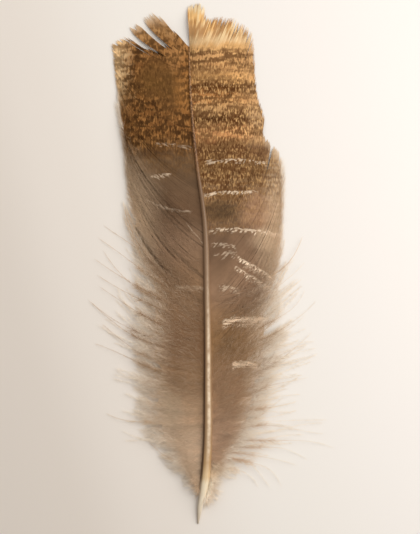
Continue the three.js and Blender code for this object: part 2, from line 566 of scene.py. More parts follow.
    def gathered(
        self, plan: np.ndarray, root: np.ndarray, middle: np.ndarray, downy: np.ndarray
    ) -> np.ndarray:
        """Barbs in plan, drawn together into locks and parted where the vane is split.

        Past a share of its length, each barb moves by a part of the way from its own tip to its
        lock's middle tip. Beside a split it moves away by gap * exp(-distance / fade).

        Args:
            plan: X and Y for each barb and step.
            root: Each root's Y.
            middle: The Y of the middle of each barb's lock.
            downy: How much of each barb is down.

        Returns:
            X and Y for each barb and step.
        """
        towards = (table_at(self.table, middle) - table_at(self.table, root))[:, :2]
        pull = (self.gather + self.loose_gather * downy)[:, None, None]
        start = (self.gather_from[0] - self.gather_from[1] * downy)[:, None, None]
        share = self.along[None, :, None]
        plan = plan + pull * smooth((share - start) / (1 - start)) * towards[:, None]
        for y, gap in self.splits:
            away = np.sign(root - y) * np.exp(-np.abs(root - y) / self.fade[0]) * gap
            opening = smooth((self.along - self.part_from) / (1 - self.part_from))
            plan[..., 1] += away[:, None] * opening
        return plan

    def waved(self, plan: np.ndarray, downy: np.ndarray, rng: np.random.Generator) -> np.ndarray:
        """Barbs in plan, with the downy ones swayed to one side and waved to both.

        Args:
            plan: X and Y for each barb and step.
            downy: How much of each barb is down.
            rng: Gives each barb its sway, its wave's length and its wave's start.

        Returns:
            X and Y for each barb and step.
        """
        share, one_each = self.along[None], (len(plan), 1)
        sway = rng.normal(0, 1, one_each) * downy[:, None] * share**1.6
        turns, first = rng.uniform(*self.waves, one_each), rng.uniform(0, FULL_TURN, one_each)
        waves = np.sin(share * turns + first)
        aside = sway * self.sway + waves * downy[:, None] * share * self.curl
        return plan + self.upward(unit(np.gradient(plan, axis=1))) * aside[..., None]

    def raised(
        self,
        shaft: Shaft,
        root: np.ndarray,
        middle: np.ndarray,
        downy: np.ndarray,
        rng: np.random.Generator,
    ) -> tuple[np.ndarray, np.ndarray]:
        """The barbs' heights, and their own random numbers, set low below a fold as painted shadow.

        A barb's Z goes from the shaft's side, over a swell, down to the surface:
        mix(root, rest, t^1.4) + swell sin(pi t)^1.5. To that come a low arch over each lock, the
        ruffle of the down and the step up at each fold.

        Args:
            shaft: What the barbs grow from.
            root: Each root's Y.
            middle: The Y of the middle of each barb's lock.
            downy: How much of each barb is down.
            rng: Gives the ruffle and the barbs' own numbers.

        Returns:
            Z for each barb and step, and one number for each barb.
        """
        share, one_each = self.along[None], (len(root), 1)
        height = shaft.width(root) * shaft.height * shaft.root_height
        start = np.maximum(shaft.floor(root) + height, self.rest)[:, None]
        z = mix(start, self.rest, share**1.4) + self.swell * np.sin(np.pi * share) ** 1.5
        rise = (0.1 * (1 - 0.6 * downy))[:, None]
        arch = np.cos((root - middle) / self.clump * 2.4)[:, None] * rise * smooth(share * 4)
        ruffle = downy[:, None] * share * rng.normal(*self.ruffle, one_each)
        seed = self.neighbourly(rng, len(root))
        for y, lift in self.folds:
            above = np.where(root > y, np.exp(-(root - y) / self.fade[1]), 0.0)[:, None]
            low, high = self.fold_at
            z = z + lift * above * smooth((share - low) / (high - low))
            # Barbs just below a fold get a low number, which makes them dark: painted shadow of the
            # raised barbs above
            in_shade = (root < y) & (root > y - 1.0)
            seed = np.where(in_shade, mix(FOLD_PAINTED_SHADOW, seed, downy), seed)
        z = np.clip(z + arch + ruffle + rng.normal(0, 0.015, one_each), *self.heights)
        return z, seed

    def barbs(self, shaft: Shaft) -> Barbs:
        """Grows the row, first in plan and then in height.

        Args:
            shaft: What the barbs grow from.

        Returns:
            The barbs' curves.
        """
        rng = np.random.default_rng(self.seed)
        root = self.roots()
        columns = table_at(self.table, root)
        tip, bow, closed, fray = columns[:, :2], columns[:, 2], columns[:, 3], columns[:, 4]
        closed = np.clip(closed, 0.02, 1)
        downy = smooth((1 - closed) / self.down_free)
        even = self.paths(shaft, root, tip, bow)
        middle = self.locks(root, rng)
        reach = self.reach(middle, closed, downy, rng)
        closed = np.minimum(closed / reach, 1.0)
        tip = even[:, 0] + (tip - even[:, 0]) * reach[:, None]
        turn = rng.normal(0, 1, len(root)) * (self.wander[0] + self.wander[1] * downy)
        plan = self.gathered(self.paths(shaft, root, tip, bow + turn), root, middle, downy)
        plan = self.waved(plan, downy, rng)
        neighbour = np.gradient(even, axis=0)
        heading = unit(np.gradient(even, axis=1))
        spacing = np.abs(heading[..., 0] * neighbour[..., 1] - heading[..., 1] * neighbour[..., 0])
        z, seed = self.raised(shaft, root, middle, downy, rng)
        points = np.concatenate([plan, z[..., None]], axis=-1)
        forward = unit(np.gradient(points, axis=1))
        across = np.concatenate([unit(self.upward(forward)), np.zeros_like(z)[..., None]], axis=-1)
        return Barbs(
            points,
            forward,
            across,
            spacing=np.minimum(spacing, WIDEST_SPACING),
            closed=closed,
            downy=downy,
            fray=fray,
            seed=seed,
            length=np.linalg.norm(np.diff(points, axis=1), axis=-1).sum(axis=1),
            root=root,
            pallor=np.full(len(root), self.pallor),
            rim=table_at(self.rims, root)[:, 0],
        )

    @staticmethod
    def neighbourly(rng: np.random.Generator, count: int) -> np.ndarray:
        """Random numbers from 0 to 1, each partly shared with the barbs beside it."""
        raw = rng.random(count + 4)
        blurred = np.convolve(raw, [0.2, 0.6, 1.0, 0.6, 0.2], mode="valid")
        return np.clip((blurred / 2.6 - 0.5) * 1.9 + 0.5, 0, 1)


@dataclass(frozen=True)
class Blades:
    """The flat, ridged blades that lie edge over edge and make up a closed vane.

    Attributes:
        overlap: A blade's width over the spacing.
        ridge: How far a blade's middle stands above its edges.
        tilt: How far its upper edge rides above its lower one.
        thread: The width of a barb that has left its neighbours.
        point: The width of its last end.
    """

    overlap: float = 1.3
    ridge: float = 0.045
    tilt: float = 0.04
    thread: float = 0.075
    point: float = 0.03

    def surface(self, barbs: Barbs, side: Side) -> Surface:
        """One strip of three points' width along each barb.

        The half width is overlap * spacing / 2. In down it eases to a thread on the way out, and
        every barb comes to a point over its free end.

        Args:
            barbs: The curves to follow.
            side: Which side of the shaft they are on.

        Returns:
            The blades.
        """
        count, steps = barbs.points.shape[:2]
        share = barbs.along[None]
        slim = smooth((share - 0.05) / 0.35) * barbs.downy[:, None]
        full = barbs.spacing * self.overlap
        width = mix(full, np.minimum(self.thread, full), slim)
        left = (1 - share) * barbs.length[:, None]
        taper = smooth(left / np.maximum(barbs.fray[:, None], 0.2)) ** 0.7
        width = np.maximum(width * taper, self.point)
        place = np.array([-0.5, 0.0, 0.5])
        raised = np.array([0.0, 1.0, 0.0])
        points = barbs.points[:, :, None] + barbs.across[:, :, None] * (
            width[..., None, None] * place[:, None]
        )
        flat = np.minimum(width / np.maximum(full, 1e-3), 1)[..., None]
        points[..., 2] += (self.ridge * raised + self.tilt * place) * flat
        shape = points.shape[:3]
        barb = np.broadcast_to(np.arange(count)[:, None], shape[:2])
        pale = barbs.paleness(barb, np.broadcast_to(share, shape[:2]))
        number = barbs.number[:, None, None]
        strand = stacked(shape, number, pale[..., None], barbs.seed[:, None, None])
        band = (number + 0.25 + 0.4 * (place + 0.5)) / count
        sheet = stacked(shape, MAP_START + MAP_SPAN * share[..., None], band)
        faces = strip_faces(count, steps, 3)
        if side is Side.RIGHT:
            faces = faces[:, ::-1]
        return Surface(points.reshape(-1, 3), [faces], strand, sheet)


@dataclass(frozen=True)
class Web:
    """The thin felt of hooked hairs under a vane's blades, which holds them together.

    Attributes:
        depth: How far it lies under the blades' middles.
        short: How far it stays back from the barbs' free ends, as a share of those.
        fretted: How far its edge in the down is eaten away.
        split_from: The share of a barb past which it opens at a split.
        lowest: The lowest Z that it may have.
    """

    depth: float = 0.11
    short: float = 0.8
    fretted: float = 0.22
    split_from: float = 0.45
    lowest: float = 0.05

    def surface(self, barbs: Barbs, side: Side, splits: Sequence[tuple[float, float]]) -> Surface:
        """One sheet through all barbs, as far out as they hold together.

        Its points are the barbs' own, lowered by the depth and in the down averaged over
        neighbours. It has no faces across a split's outer half.

        Args:
            barbs: The curves that it joins.
            side: Which side of the shaft they are on.
            splits: Where the vane has come apart.

        Returns:
            The sheet.
        """
        count, steps = barbs.points.shape[:2]
        ragged = 1 - self.fretted * barbs.downy * (0.5 + barbs.seed)
        kept = np.minimum(1 - self.short * barbs.fray / barbs.length, barbs.closed * ragged)
        share = mix(kept, self.evened(kept), barbs.downy)[:, None] * barbs.along[None]
        barb = np.broadcast_to(np.arange(count)[:, None], share.shape)
        points = barbs.at(barbs.points, barb, share)
        points = mix(points, self.evened(points), barbs.downy[:, None, None])
        points[..., 2] = np.maximum(points[..., 2] - self.depth, self.lowest)
        faces = strip_faces(1, count, steps)
        low, high = faces[:, 0] // steps, faces[:, 2] // steps
        outer = share[low, faces[:, 0] % steps] > self.split_from
        across = np.zeros(len(faces), dtype=bool)
        for y, _ in splits:
            across |= (barbs.root[low] < y) & (barbs.root[high] >= y) & outer
        faces = faces[~across]
        if side is Side.LEFT:
            faces = faces[:, ::-1]
        number = barbs.number[:, None]
        strand = stacked(share.shape, number, barbs.paleness(barb, share), barbs.seed[:, None])
        sheet = stacked(share.shape, MAP_START + MAP_SPAN * share, (number + 0.5) / count)
        return Surface(points.reshape(-1, 3), [faces], strand, sheet)

    @staticmethod
    def evened(values: np.ndarray) -> np.ndarray:
        """Values averaged over nine neighbours along the first axis, the ends' own repeated."""
        ends = [(4, 4)] + [(0, 0)] * (values.ndim - 1)
        padded = np.pad(values, ends, mode="edge")
        return sum(padded[i : i + len(values)] for i in range(9)) / 9


@dataclass(frozen=True)
class Barbules:
    """The fine side hairs of loose barbs, which make them down.

    Attributes:
        body: How many there are on each millimetre of a downy barb where it holds together.
        free: How many there are past that on a short free end. Past LONG_END they thin out with
            the square root of its length.
        length: A long one's length.
        width: Its width at its root.
        spread: The angle at which it leaves the barb, in degrees.
        lift: How far above its barb it may float.
        under: How many of them hang below their barbs.
        drop: How far below.
        stray: By how many degrees the angle differs from hair to hair.
        bend: How far a tip bends towards the barb's own direction.
        heights: The lowest Z of a root, of a middle and of a tip, and the highest of all.
        seed: Starts the random numbers.
    """

    body: float = 15.0
    free: float = 8.5
    length: float = 3.4
    width: float = 0.05
    spread: float = 24.0
    lift: float = 0.45
    under: float = 0.18
    drop: float = 0.3
    stray: float = 12.0
    bend: float = 0.35
    heights: tuple[float, float, float, float] = (0.06, 0.05, 0.03, 4.5)
    seed: int = 7

    def placed(self, barbs: Barbs, rng: np.random.Generator) -> tuple[np.ndarray, np.ndarray]:
        """Where the hairs grow: evenly over the part that holds together and over the free end.

        Args:
            barbs: The barbs that carry them.
            rng: Gives their places.

        Returns:
            For each hair its barb's number, and the share of that barb's length.
        """
        inner = barbs.length * barbs.closed * self.body * barbs.downy
        thinned = np.sqrt(LONG_END / np.maximum(barbs.overhang, LONG_END))
        outer = barbs.overhang * self.free * thinned
        inside, outside = (np.repeat(np.arange(len(inner)), n.astype(int)) for n in (inner, outer))
        start = 0.04 * rng.random(len(inside))
        near = mix(start, barbs.closed[inside], rng.random(len(inside)) ** 0.8)
        far = mix(barbs.closed[outside], 0.985, rng.random(len(outside)))
        return np.concatenate([inside, outside]), np.concatenate([near, far])

    def sizes(
        self, barbs: Barbs, barb: np.ndarray, share: np.ndarray, own: np.ndarray
    ) -> np.ndarray:
        """The hairs' lengths: longer in a fringe where the barbs part, shorter towards long tips.

        Args:
            barbs: The barbs that carry them.
            barb: Each hair's barb.
            share: Where on it the hair grows.
            own: Each hair's own factor.

        Returns:
            One length for each hair.
        """
        outward = share / barbs.closed[barb]
        past = self.past(outward)
        fringe = 1 + 0.7 * np.exp(-(((outward - 0.95) / 0.12) ** 2))
        size = self.length * own * (1 - 0.5 * share**2) * fringe
        size *= 1 - 0.4 * past * np.clip(barbs.overhang[barb] / 10.0 - 0.4, 0, 1)
        left = (1 - share) * barbs.length[barb]
        return np.minimum(size, 0.5 + 1.2 * left + 3 * (1 - past))

    @staticmethod
    def past(outward: np.ndarray) -> np.ndarray:
        """From 0 where barbs hold together to 1 where they are free, by share / closed share."""
        return np.clip((outward - 0.85) / 0.4, 0, 1)

    def surface(self, barbs: Barbs) -> Surface:
        """Hairs at random places on the barbs, each a strip that narrows to a point.

        A hair leaves at the spread angle to either hand, turned a little out of the plane, and
        bends forward: its middle is root + length / 2 * out, and its tip is
        root + length * (out + bend * forward).

        Args:
            barbs: The barbs that carry them.

        Returns:
            The hairs.
        """
        rng = np.random.default_rng(self.seed)
        barb, share = self.placed(barbs, rng)
        count = len(barb)
        root = barbs.at(barbs.points, barb, share)
        ahead = barbs.at(barbs.forward, barb, share)
        across = barbs.at(barbs.across, barb, share)
        past = self.past(share / barbs.closed[barb])
        root_low, middle_low, tip_low, top = self.heights
        root[:, 2] += self.lift * rng.random(count) ** 2 * (1 - past)
        root[:, 2] -= np.where(rng.random(count) < self.under, self.drop, 0.0)
        root[:, 2] = np.maximum(root[:, 2], root_low)
        hand = np.where(rng.random(count) < 0.5, -1.0, 1.0)
        spread = self.spread * mix(1.3, 0.75, past) + rng.normal(0, self.stray, count)
        angle = np.radians(spread)[:, None]
        out = ahead * np.cos(angle) + across * np.sin(angle) * hand[:, None]
        out[:, 2] += rng.normal(0.02, 0.13, count)
        out = unit(out)
        size = self.sizes(barbs, barb, share, rng.uniform(0.4, 1.15, count))[:, None]
        middle = root + out * size * 0.5
        bend = out + ahead * self.bend + rng.normal(0, 0.16, out.shape) * (1, 1, 0.4)
        tip = root + unit(bend) * size
        middle[:, 2] = np.clip(middle[:, 2], middle_low, top)
        tip[:, 2] = np.clip(tip[:, 2], tip_low, top)
        flat = unit(np.cross(out, np.array([0.0, 0.0, 1.0])))
        flat[:, 2] += rng.normal(0, 0.3, count)
        half = flat * self.width / 2
        points = np.stack(
            [root - half, root + half, middle - half * 0.75, middle + half * 0.75, tip], axis=1
        )
        first = np.arange(count)[:, None] * 5
        stems = first + np.array([0, 1, 3, 2])
        ends = first + np.array([2, 3, 4])
        reach = np.array([0.0, 0.0, 0.5, 0.5, 1.0])
        pale = barbs.paleness(barb, share) + rng.normal(0, 0.1, count)
        pale = np.clip(pale[:, None] + 0.3 * barbs.downy[barb][:, None] * reach, 0, 1)
        # A hair's number is raised by 0.6 on average, which lightens it: painted light that makes
        # up for the hairs' darker shading
        seed = barbs.seed[barb] + rng.normal(0.6, 0.45, count)
        strand = stacked(pale.shape, barbs.number[barb][:, None], pale, seed[:, None])
        u = 0.005 + 0.985 * share[:, None] + np.array([0.0, 0.004, 0.0, 0.004, 0.002])
        v = (barb[:, None] + 0.12 + 0.76 * reach) / len(barbs.points)
        sheet = stacked(pale.shape, u, v)
        return Surface(points.reshape(-1, 3), [stems, ends], strand, sheet)


# ---- Finishes ----------------------------------------------------------------------------------


def paint(red: int, green: int, blue: int) -> Colour:
    """A colour from the three numbers of a paint chart, as the shaders want it."""

    def linear(value: int) -> float:
        """One channel from 0 to 255, as linear light."""
        share = value / 255
        return share / 12.92 if share <= 0.04045 else ((share + 0.055) / 1.055) ** 2.4

    return linear(red), linear(green), linear(blue)


def stops(*rows: tuple[float, int, int, int]) -> Stops:
    """A ramp's stops, from rows of a value and the three numbers of a colour."""
    return tuple((row[0], paint(*row[1:])) for row in rows)


class NodeMaker:
    """Adds nodes to one tree and joins them."""

    def __init__(self, tree: bpy.types.NodeTree) -> None:
        """Keeps the tree."""
        self.tree = tree

    def add(self, kind: str, inputs: dict | None = None, **settings: object) -> bpy.types.Node:
        """Adds a node.

        Args:
            kind: The node's type.
            inputs: What each input, by name or number, is set to or joined to.
            settings: The node's own options.

        Returns:
            The node.
        """
        node = self.tree.nodes.new(kind)
        for name, value in settings.items():
            setattr(node, name, value)
        for key, value in (inputs or {}).items():
            self.feed(node.inputs[key], value)
        return node

    def feed(self, socket: Socket, value: object) -> None:
        """Joins an input to a socket, or sets it to a number or colour."""
        if isinstance(value, Socket):
            self.tree.links.new(value, socket)
        elif isinstance(value, tuple) and socket.type == "RGBA":
            socket.default_value = (*value[:3], 1.0)
        else:
            socket.default_value = value

    def maths(self, operation: str, *values: object) -> Socket:
        """The result of one operation on up to three values."""
        inputs = dict(enumerate(values))
        return self.add("ShaderNodeMath", inputs, operation=operation).outputs[0]

    def times(self, first: object, *others: object) -> Socket:
        """The product of two or more values, from the first on."""
        for other in others:
            first = self.maths("MULTIPLY", first, other)
        return first

    def scaled(self, value: object, factor: object, offset: object) -> Socket:
        """value * factor + offset."""
        return self.maths("MULTIPLY_ADD", value, factor, offset)

    def plus(self, value: object, other: object) -> Socket:
        """value + other."""
        return self.maths("ADD", value, other)

    def minus(self, value: object, other: object) -> Socket:
        """value - other."""
        return self.maths("SUBTRACT", value, other)

    def over(self, value: object, other: object) -> Socket:
        """value / other."""
        return self.maths("DIVIDE", value, other)

    def step(self, value: Socket, low: object, high: object) -> Socket:
        """0 below low and 1 above high, with a smooth step between. High may be the lower one."""
        inputs = {0: value, 1: low, 2: high}
        made = self.add("ShaderNodeMapRange", inputs, interpolation_type="SMOOTHSTEP")
        return made.outputs[0]

    def blend(self, share: object, low: object, high: object, mode: str = "MIX") -> Socket:
        """Two colours mixed by a share."""
        inputs = {0: share, 6: low, 7: high}
        node = self.add("ShaderNodeMix", inputs, data_type="RGBA", blend_type=mode)
        return node.outputs[2]

    def vector(self, x: object, y: object, z: object = 0.0) -> Socket:
        """A vector from three values."""
        return self.add("ShaderNodeCombineXYZ", {0: x, 1: y, 2: z}).outputs[0]

    def noise(self, where: Socket, scale: float, detail: float = 2.0) -> Socket:
        """Cloudy noise from 0 to 1."""
        inputs = {"Vector": where, "Scale": scale, "Detail": detail, "Roughness": 0.55}
        return self.add("ShaderNodeTexNoise", inputs).outputs[0]

    def waver(self, where: Socket, scale: float, reach: float) -> Socket:
        """Cloudy noise that swings by half the reach to either side of 0."""
        return self.scaled(self.noise(where, scale), reach, -reach / 2)

    def about_one(self, value: Socket, contrast: float) -> Socket:
        """A value from 0 to 1, as a factor that differs from 1 by up to half the contrast."""
        return self.scaled(value, contrast, 1 - contrast / 2)

    def ramp(self, value: Socket, rows: Stops) -> Socket:
        """A colour by a value's place among a ramp's stops.

        Args:
            value: Any number.
            rows: Rising values and their colours. Values past the ends take the end's colour.

        Returns:
            The colour.
        """
        low, high = rows[0][0], rows[-1][0]
        share = self.add("ShaderNodeMapRange", {0: value, 1: low, 2: high}).outputs[0]
        node = self.add("ShaderNodeValToRGB", {0: share})
        band = node.color_ramp
        band.interpolation = "EASE"
        while len(band.elements) < len(rows):
            band.elements.new(0.5)
        for element, (at, colour) in zip(band.elements, rows):
            element.position = (at - low) / (high - low)
            element.color = (*colour, 1.0)
        return node.outputs[0]

    def finish(self, colour: Socket, roughness: float, specular: float) -> None:
        """Ends a material with its shader and its output."""
        inputs = {"Base Color": colour, "Roughness": roughness, "Specular IOR Level": specular}
        shader = self.add("ShaderNodeBsdfPrincipled", inputs)
        self.add("ShaderNodeOutputMaterial", {0: shader.outputs[0]})

    def group(self, tree: bpy.types.NodeTree, *values: object) -> bpy.types.Node:
        """Places a node group with its inputs set in their order."""
        node = self.add("ShaderNodeGroup", node_tree=tree)
        for socket, value in zip(node.inputs, values):
            self.feed(socket, value)
        return node


def new_group(name: str, inputs: Sequence[str], outputs: Sequence[str]) -> tuple:
    """Starts a shader node group whose inputs and outputs are all numbers.

    Args:
        name: The group's name.
        inputs: Each input's name.
        outputs: Each output's name.

    Returns:
        The tree, a maker for it, its input node and its output node.
    """
    tree = bpy.data.node_groups.new(name, "ShaderNodeTree")
    for in_out, labels in (("INPUT", inputs), ("OUTPUT", outputs)):
        for label in labels:
            tree.interface.new_socket(label, in_out=in_out, socket_type="NodeSocketFloat")
    maker = NodeMaker(tree)
    return tree, maker, maker.add("NodeGroupInput"), maker.add("NodeGroupOutput")


def new_material(name: str) -> tuple[bpy.types.Material, NodeMaker]:
    """Starts a material with an empty tree, and a maker for it."""
    made = bpy.data.materials.new(name)
    made.use_nodes = True
    made.node_tree.nodes.clear()
    return made, NodeMaker(made.node_tree)


class Effects:
    """The shader effects that the finishes share, each built once."""

    def __init__(self) -> None:
        """Builds the three groups."""
        self.place = self.barb_place()
        self.flecks = self.fleck_pattern()
        self.bar = self.ticked_bar()

    @staticmethod
    def barb_place() -> bpy.types.NodeTree:
        """A group that gives a point's X and Y in millimetres, with Y shifted barb by barb.

        The shift is what makes a marking that crosses the barbs end in separate fine ticks. It is
        noise over the barbs' numbers that changes slowly along each barb.
        """
        tree, make, given, result = new_group(
            "barb_place",
            ("Shift",),
            ("X", "Y", "Even Y", "Barb", "Pale", "Seed"),
        )
        where = make.add("ShaderNodeTexCoord").outputs["Object"]
        parts = make.add("ShaderNodeSeparateXYZ", {0: where}).outputs
        strand = make.add("ShaderNodeAttribute", attribute_name=STRAND).outputs["Vector"]
        own = make.add("ShaderNodeSeparateXYZ", {0: strand}).outputs
        x = make.times(parts[0], 1 / MM)
        y = make.times(parts[1], 1 / MM)
        by_barb = make.vector(make.times(own[0], 0.83), make.times(y, 0.22))
        uneven = make.minus(make.noise(by_barb, 1.0, 1.0), 0.5)
        shifted = make.scaled(uneven, given.outputs["Shift"], y)
        for name, value in zip(("X", "Y", "Even Y", "Barb", "Pale", "Seed"), (x, shifted, y, *own)):
            make.feed(result.inputs[name], value)
        return tree

    @staticmethod
    def fleck_pattern() -> bpy.types.NodeTree:
        """A group that gives a mask of short upright ticks, gathered into wavy rows.

        The ticks are noise over Across and Y, stretched by Wide and Long, and the rows are noise
        drawn out along X. A tick shows where rows * row_share + ticks * (1 - row_share) passes a
        level that falls as Cover rises, from 0.65 by 0.3.
        """
        row_share, softness = 0.45, 0.045
        tree, make, given, result = new_group(
            "fleck_pattern",
            ("X", "Y", "Across", "Wide", "Long", "Cover"),
            ("Mask",),
        )
        value = given.outputs
        along = make.over(value["Y"], value["Long"])
        across = make.over(value["Across"], value["Wide"])
        ticks = make.noise(make.vector(across, along), 1.0, 1.0)
        drawn = make.vector(make.times(value["X"], 0.09), make.times(value["Y"], 0.6))
        rows = make.noise(drawn, 1.0, 1.5)
        both = make.scaled(rows, row_share, make.times(ticks, 1 - row_share))
        level = make.scaled(value["Cover"], -0.3, 0.65)
        low, high = make.minus(level, softness), make.plus(level, softness)
        make.feed(result.inputs["Mask"], make.step(both, low, high))
        return tree

    @staticmethod
    def ticked_bar() -> bpy.types.NodeTree:
        """A group that gives a mask of one pale bar: a wavy line with ticks down the barbs.

        The line runs from one point to another along a parabola that rises by Arch at its middle.
        Each tick's length is 0.35 + 2.2 * Half * noise over the barbs' numbers, and finer noise
        breaks the whole into grains.
        """
        names = ("X", "Y", "Barb", "From X", "From Y", "To X", "To Y", "Arch", "Half")
        tree, make, given, result = new_group("ticked_bar", names, ("Mask",))
        value = given.outputs
        # The line's Y at this X
        run = make.minus(value["To X"], value["From X"])
        share = make.over(make.minus(value["X"], value["From X"]), run)
        rise = make.minus(value["To Y"], value["From Y"])
        line = make.scaled(share, rise, value["From Y"])
        hump = make.times(share, make.minus(1.0, share))
        line = make.scaled(make.times(hump, 4.0), value["Arch"], line)
        wobble = make.waver(make.vector(value["X"], value["From Y"]), 0.35, 1.8)
        line = make.plus(wobble, line)
        # A tick hangs from the line on each barb, by a length of its own
        own = make.noise(make.vector(value["Barb"], value["From Y"]), 0.91, 1.0)
        hang = make.times(make.step(own, 0.36, 0.66), value["Half"])
        hang = make.scaled(hang, 2.2, 0.35)
        below = make.over(make.minus(line, value["Y"]), hang)
        near = make.times(make.step(below, -0.3, 0.15), make.step(below, 1.2, 0.7))
        # The whole ends softly at both ends of the line and is broken into grains
        begins = make.step(share, -0.06, 0.06)
        ends = make.step(share, 1.06, 0.94)
        mask = make.times(near, begins, ends)
        grains = make.noise(make.vector(value["Barb"], make.times(value["Y"], 1.3)), 0.93, 1.0)
        make.feed(result.inputs["Mask"], make.times(mask, make.step(grains, 0.38, 0.6)))
        return tree


@dataclass(frozen=True)
class Bar:
    """A pale ticked bar across a vane.

    Attributes:
        start: X and Y of its inner end.
        end: X and Y of its outer end.
        arch: How far its middle stands above the straight line.
        half: Half its width.
        strength: How fully it covers the ground.
    """

    start: tuple[float, float]
    end: tuple[float, float]
    arch: float
    half: float
    strength: float


@dataclass(frozen=True)
class Patch:
    """A soft plain patch without flecks.

    Attributes:
        place: X and Y of its middle.
        size: Half its width and half its height.
        strength: How fully it covers the ground.
        tint: Its colour.
        calm: How much of that share it takes from the flecks as well.
    """

    place: tuple[float, float]
    size: tuple[float, float]
    strength: float
    tint: Colour = paint(82, 61, 40)
    calm: float = 0.6


@dataclass(frozen=True)
class Plumage:
    """The finish of one side's barbs: a ground that changes up the feather, flecks and bars.

    Attributes:
        name: The material's name.
        ground: Y and colour, from the base up.
        flecked: Y and how strong the flecks are, from the base up.
        cover: How much of the ground the dark flecks cover.
        edge: The X where the outer edge's tint starts and where it is full.
        edge_tint: That tint.
        edge_calm: How much weaker, as a negative share, the flecks are on it.
        patches: The plain patches.
        bars: The pale bars.
        streaked: The Y where the tip's dark and light barbs begin and where they are full. Past
            the feather's tip, there are none.
        edge_rise: The Y where the edge's tint starts and where it is full.
        grain: How coarse the flecks are.
        ripple: How fast the flecks' rows rise and fall across the vane.
        fleck_dark: The dark flecks.
        fleck_pale: The pale flecks between them.
        bar_tint: The bars.
        streak_tint: The tip's dark barbs.
        frost_tint: The tip's light barbs.
        body_edge: The colour that down turns to at the edge of its body.
        down_tint: The colour of its free ends.
        tick_shift: How far markings shift along Y from barb to barb.
        band_waver: The scale and the reach of the wavering of the ground's bands.
        edge_waver: The same for the edge's tint.
        patch_waver: The same for the patches' outlines. A patch's reach is over its size.
        clouds: The scale and the contrast of soft clouds.
        mottle: The same for the mottling that is finer.
        own_shade: How much lighter or darker than others a barb may be. It also sets how dark
            the painted shadow below a fold is.
        edge_strength: How fully the edge's tint covers the ground.
        streak_strength: How fully the tip's dark and light barbs do.
        bar_shift: How much of the tick_shift the bars' line follows.
        roughness: How matt the barbs are.
        specular: How strongly they shine.
    """

    name: str
    ground: Stops
    flecked: tuple[tuple[float, float], ...]
    cover: float
    edge: tuple[float, float]
    edge_tint: Colour
    edge_calm: float
    patches: tuple[Patch, ...]
    bars: tuple[Bar, ...]
    streaked: tuple[float, float] = (76.0, 80.0)
    edge_rise: tuple[float, float] = (34.0, 46.0)
    grain: float = 1.0
    ripple: float = 1.0
    fleck_dark: Colour = paint(84, 48, 20)
    fleck_pale: Colour = paint(230, 182, 120)
    bar_tint: Colour = paint(252, 228, 198)
    streak_tint: Colour = paint(160, 106, 54)
    frost_tint: Colour = paint(236, 208, 160)
    body_edge: Colour = paint(216, 189, 158)
    down_tint: Colour = paint(244, 232, 215)
    tick_shift: float = 4.0
    band_waver: tuple[float, float] = (0.09, 5.0)
    edge_waver: tuple[float, float] = (0.3, 6.0)
    patch_waver: tuple[float, float] = (0.22, 10.0)
    clouds: tuple[float, float] = (0.11, 0.36)
    mottle: tuple[float, float] = (0.6, 0.2)
    own_shade: float = 0.2
    edge_strength: float = 0.8
    streak_strength: float = 0.75
    bar_shift: float = 0.15
    roughness: float = 0.75
    specular: float = 0.1

    def material(self, effects: Effects) -> bpy.types.Material:
        """Builds the material.

        Args:
            effects: The shared groups.

        Returns:
            The material.
        """
        made, make = new_material(self.name)
        place = make.group(effects.place, self.tick_shift).outputs
        flat = make.vector(place["X"], place["Even Y"])
        level = make.plus(place["Y"], make.waver(flat, *self.band_waver))
        colour = make.ramp(level, self.ground)
        colour = self.edged(make, place, colour)
        colour, plain = self.patched(make, place, colour)
        colour = self.flecks(make, effects, place, colour, plain)
        colour = self.streaks(make, effects, place, colour)
        colour = self.barred(make, effects, place, colour)
        colour = self.mottled(make, place, colour)
        for low, high, share, tint in (  # from what paleness to what, how strongly, to what
            (0.02, 0.5, 0.8, self.body_edge),
            (0.28, 0.75, 0.95, self.down_tint),
        ):
            paled = make.times(make.step(place["Pale"], low, high), share)
            colour = make.blend(paled, colour, tint)
        make.finish(colour, self.roughness, self.specular)
        return made

    def edged(self, make: NodeMaker, place: dict, colour: Socket) -> Socket:
        """The colour with the tint of the vane's outer edge.

        Args:
            make: The material's node maker.
            place: What the barb_place group gives.
            colour: The colour so far.

        Returns:
            The colour with the tint.
        """
        waver = make.waver(make.vector(place["X"], place["Even Y"]), *self.edge_waver)
        across = make.step(make.plus(place["X"], waver), *self.edge)
        edge = make.times(across, make.step(place["Even Y"], *self.edge_rise))
        return make.blend(make.times(edge, self.edge_strength), colour, self.edge_tint)

    def patched(self, make: NodeMaker, place: dict, colour: Socket) -> tuple[Socket, object]:
        """The colour with its plain patches, and a mask of where they are not.

        A patch is a wavering ellipse, full within 0.45 of its size and gone at 1.4 times it.

        Args:
            make: The material's node maker.
            place: What the barb_place group gives.
            colour: The colour so far.

        Returns:
            The colour with the patches, and the mask.
        """
        plain = 1.0
        scale, reach = self.patch_waver
        waver = make.noise(make.vector(place["X"], place["Even Y"]), scale)
        for patch in self.patches:
            (x, y), (wide, tall) = patch.place, patch.size
            across = make.over(make.minus(place["X"], x), wide)
            up = make.over(make.minus(place["Y"], y), tall)
            squares = make.scaled(across, across, make.times(up, up))
            sway = reach / (wide + tall)
            warp = make.scaled(waver, sway, -sway / 2)
            mask = make.step(make.plus(make.maths("SQRT", squares), warp), 1.4, 0.45)
            colour = make.blend(make.times(mask, patch.strength), colour, patch.tint)
            kept = make.scaled(mask, -patch.strength * patch.calm, 1.0)
            plain = make.times(kept, plain)
        return colour, plain

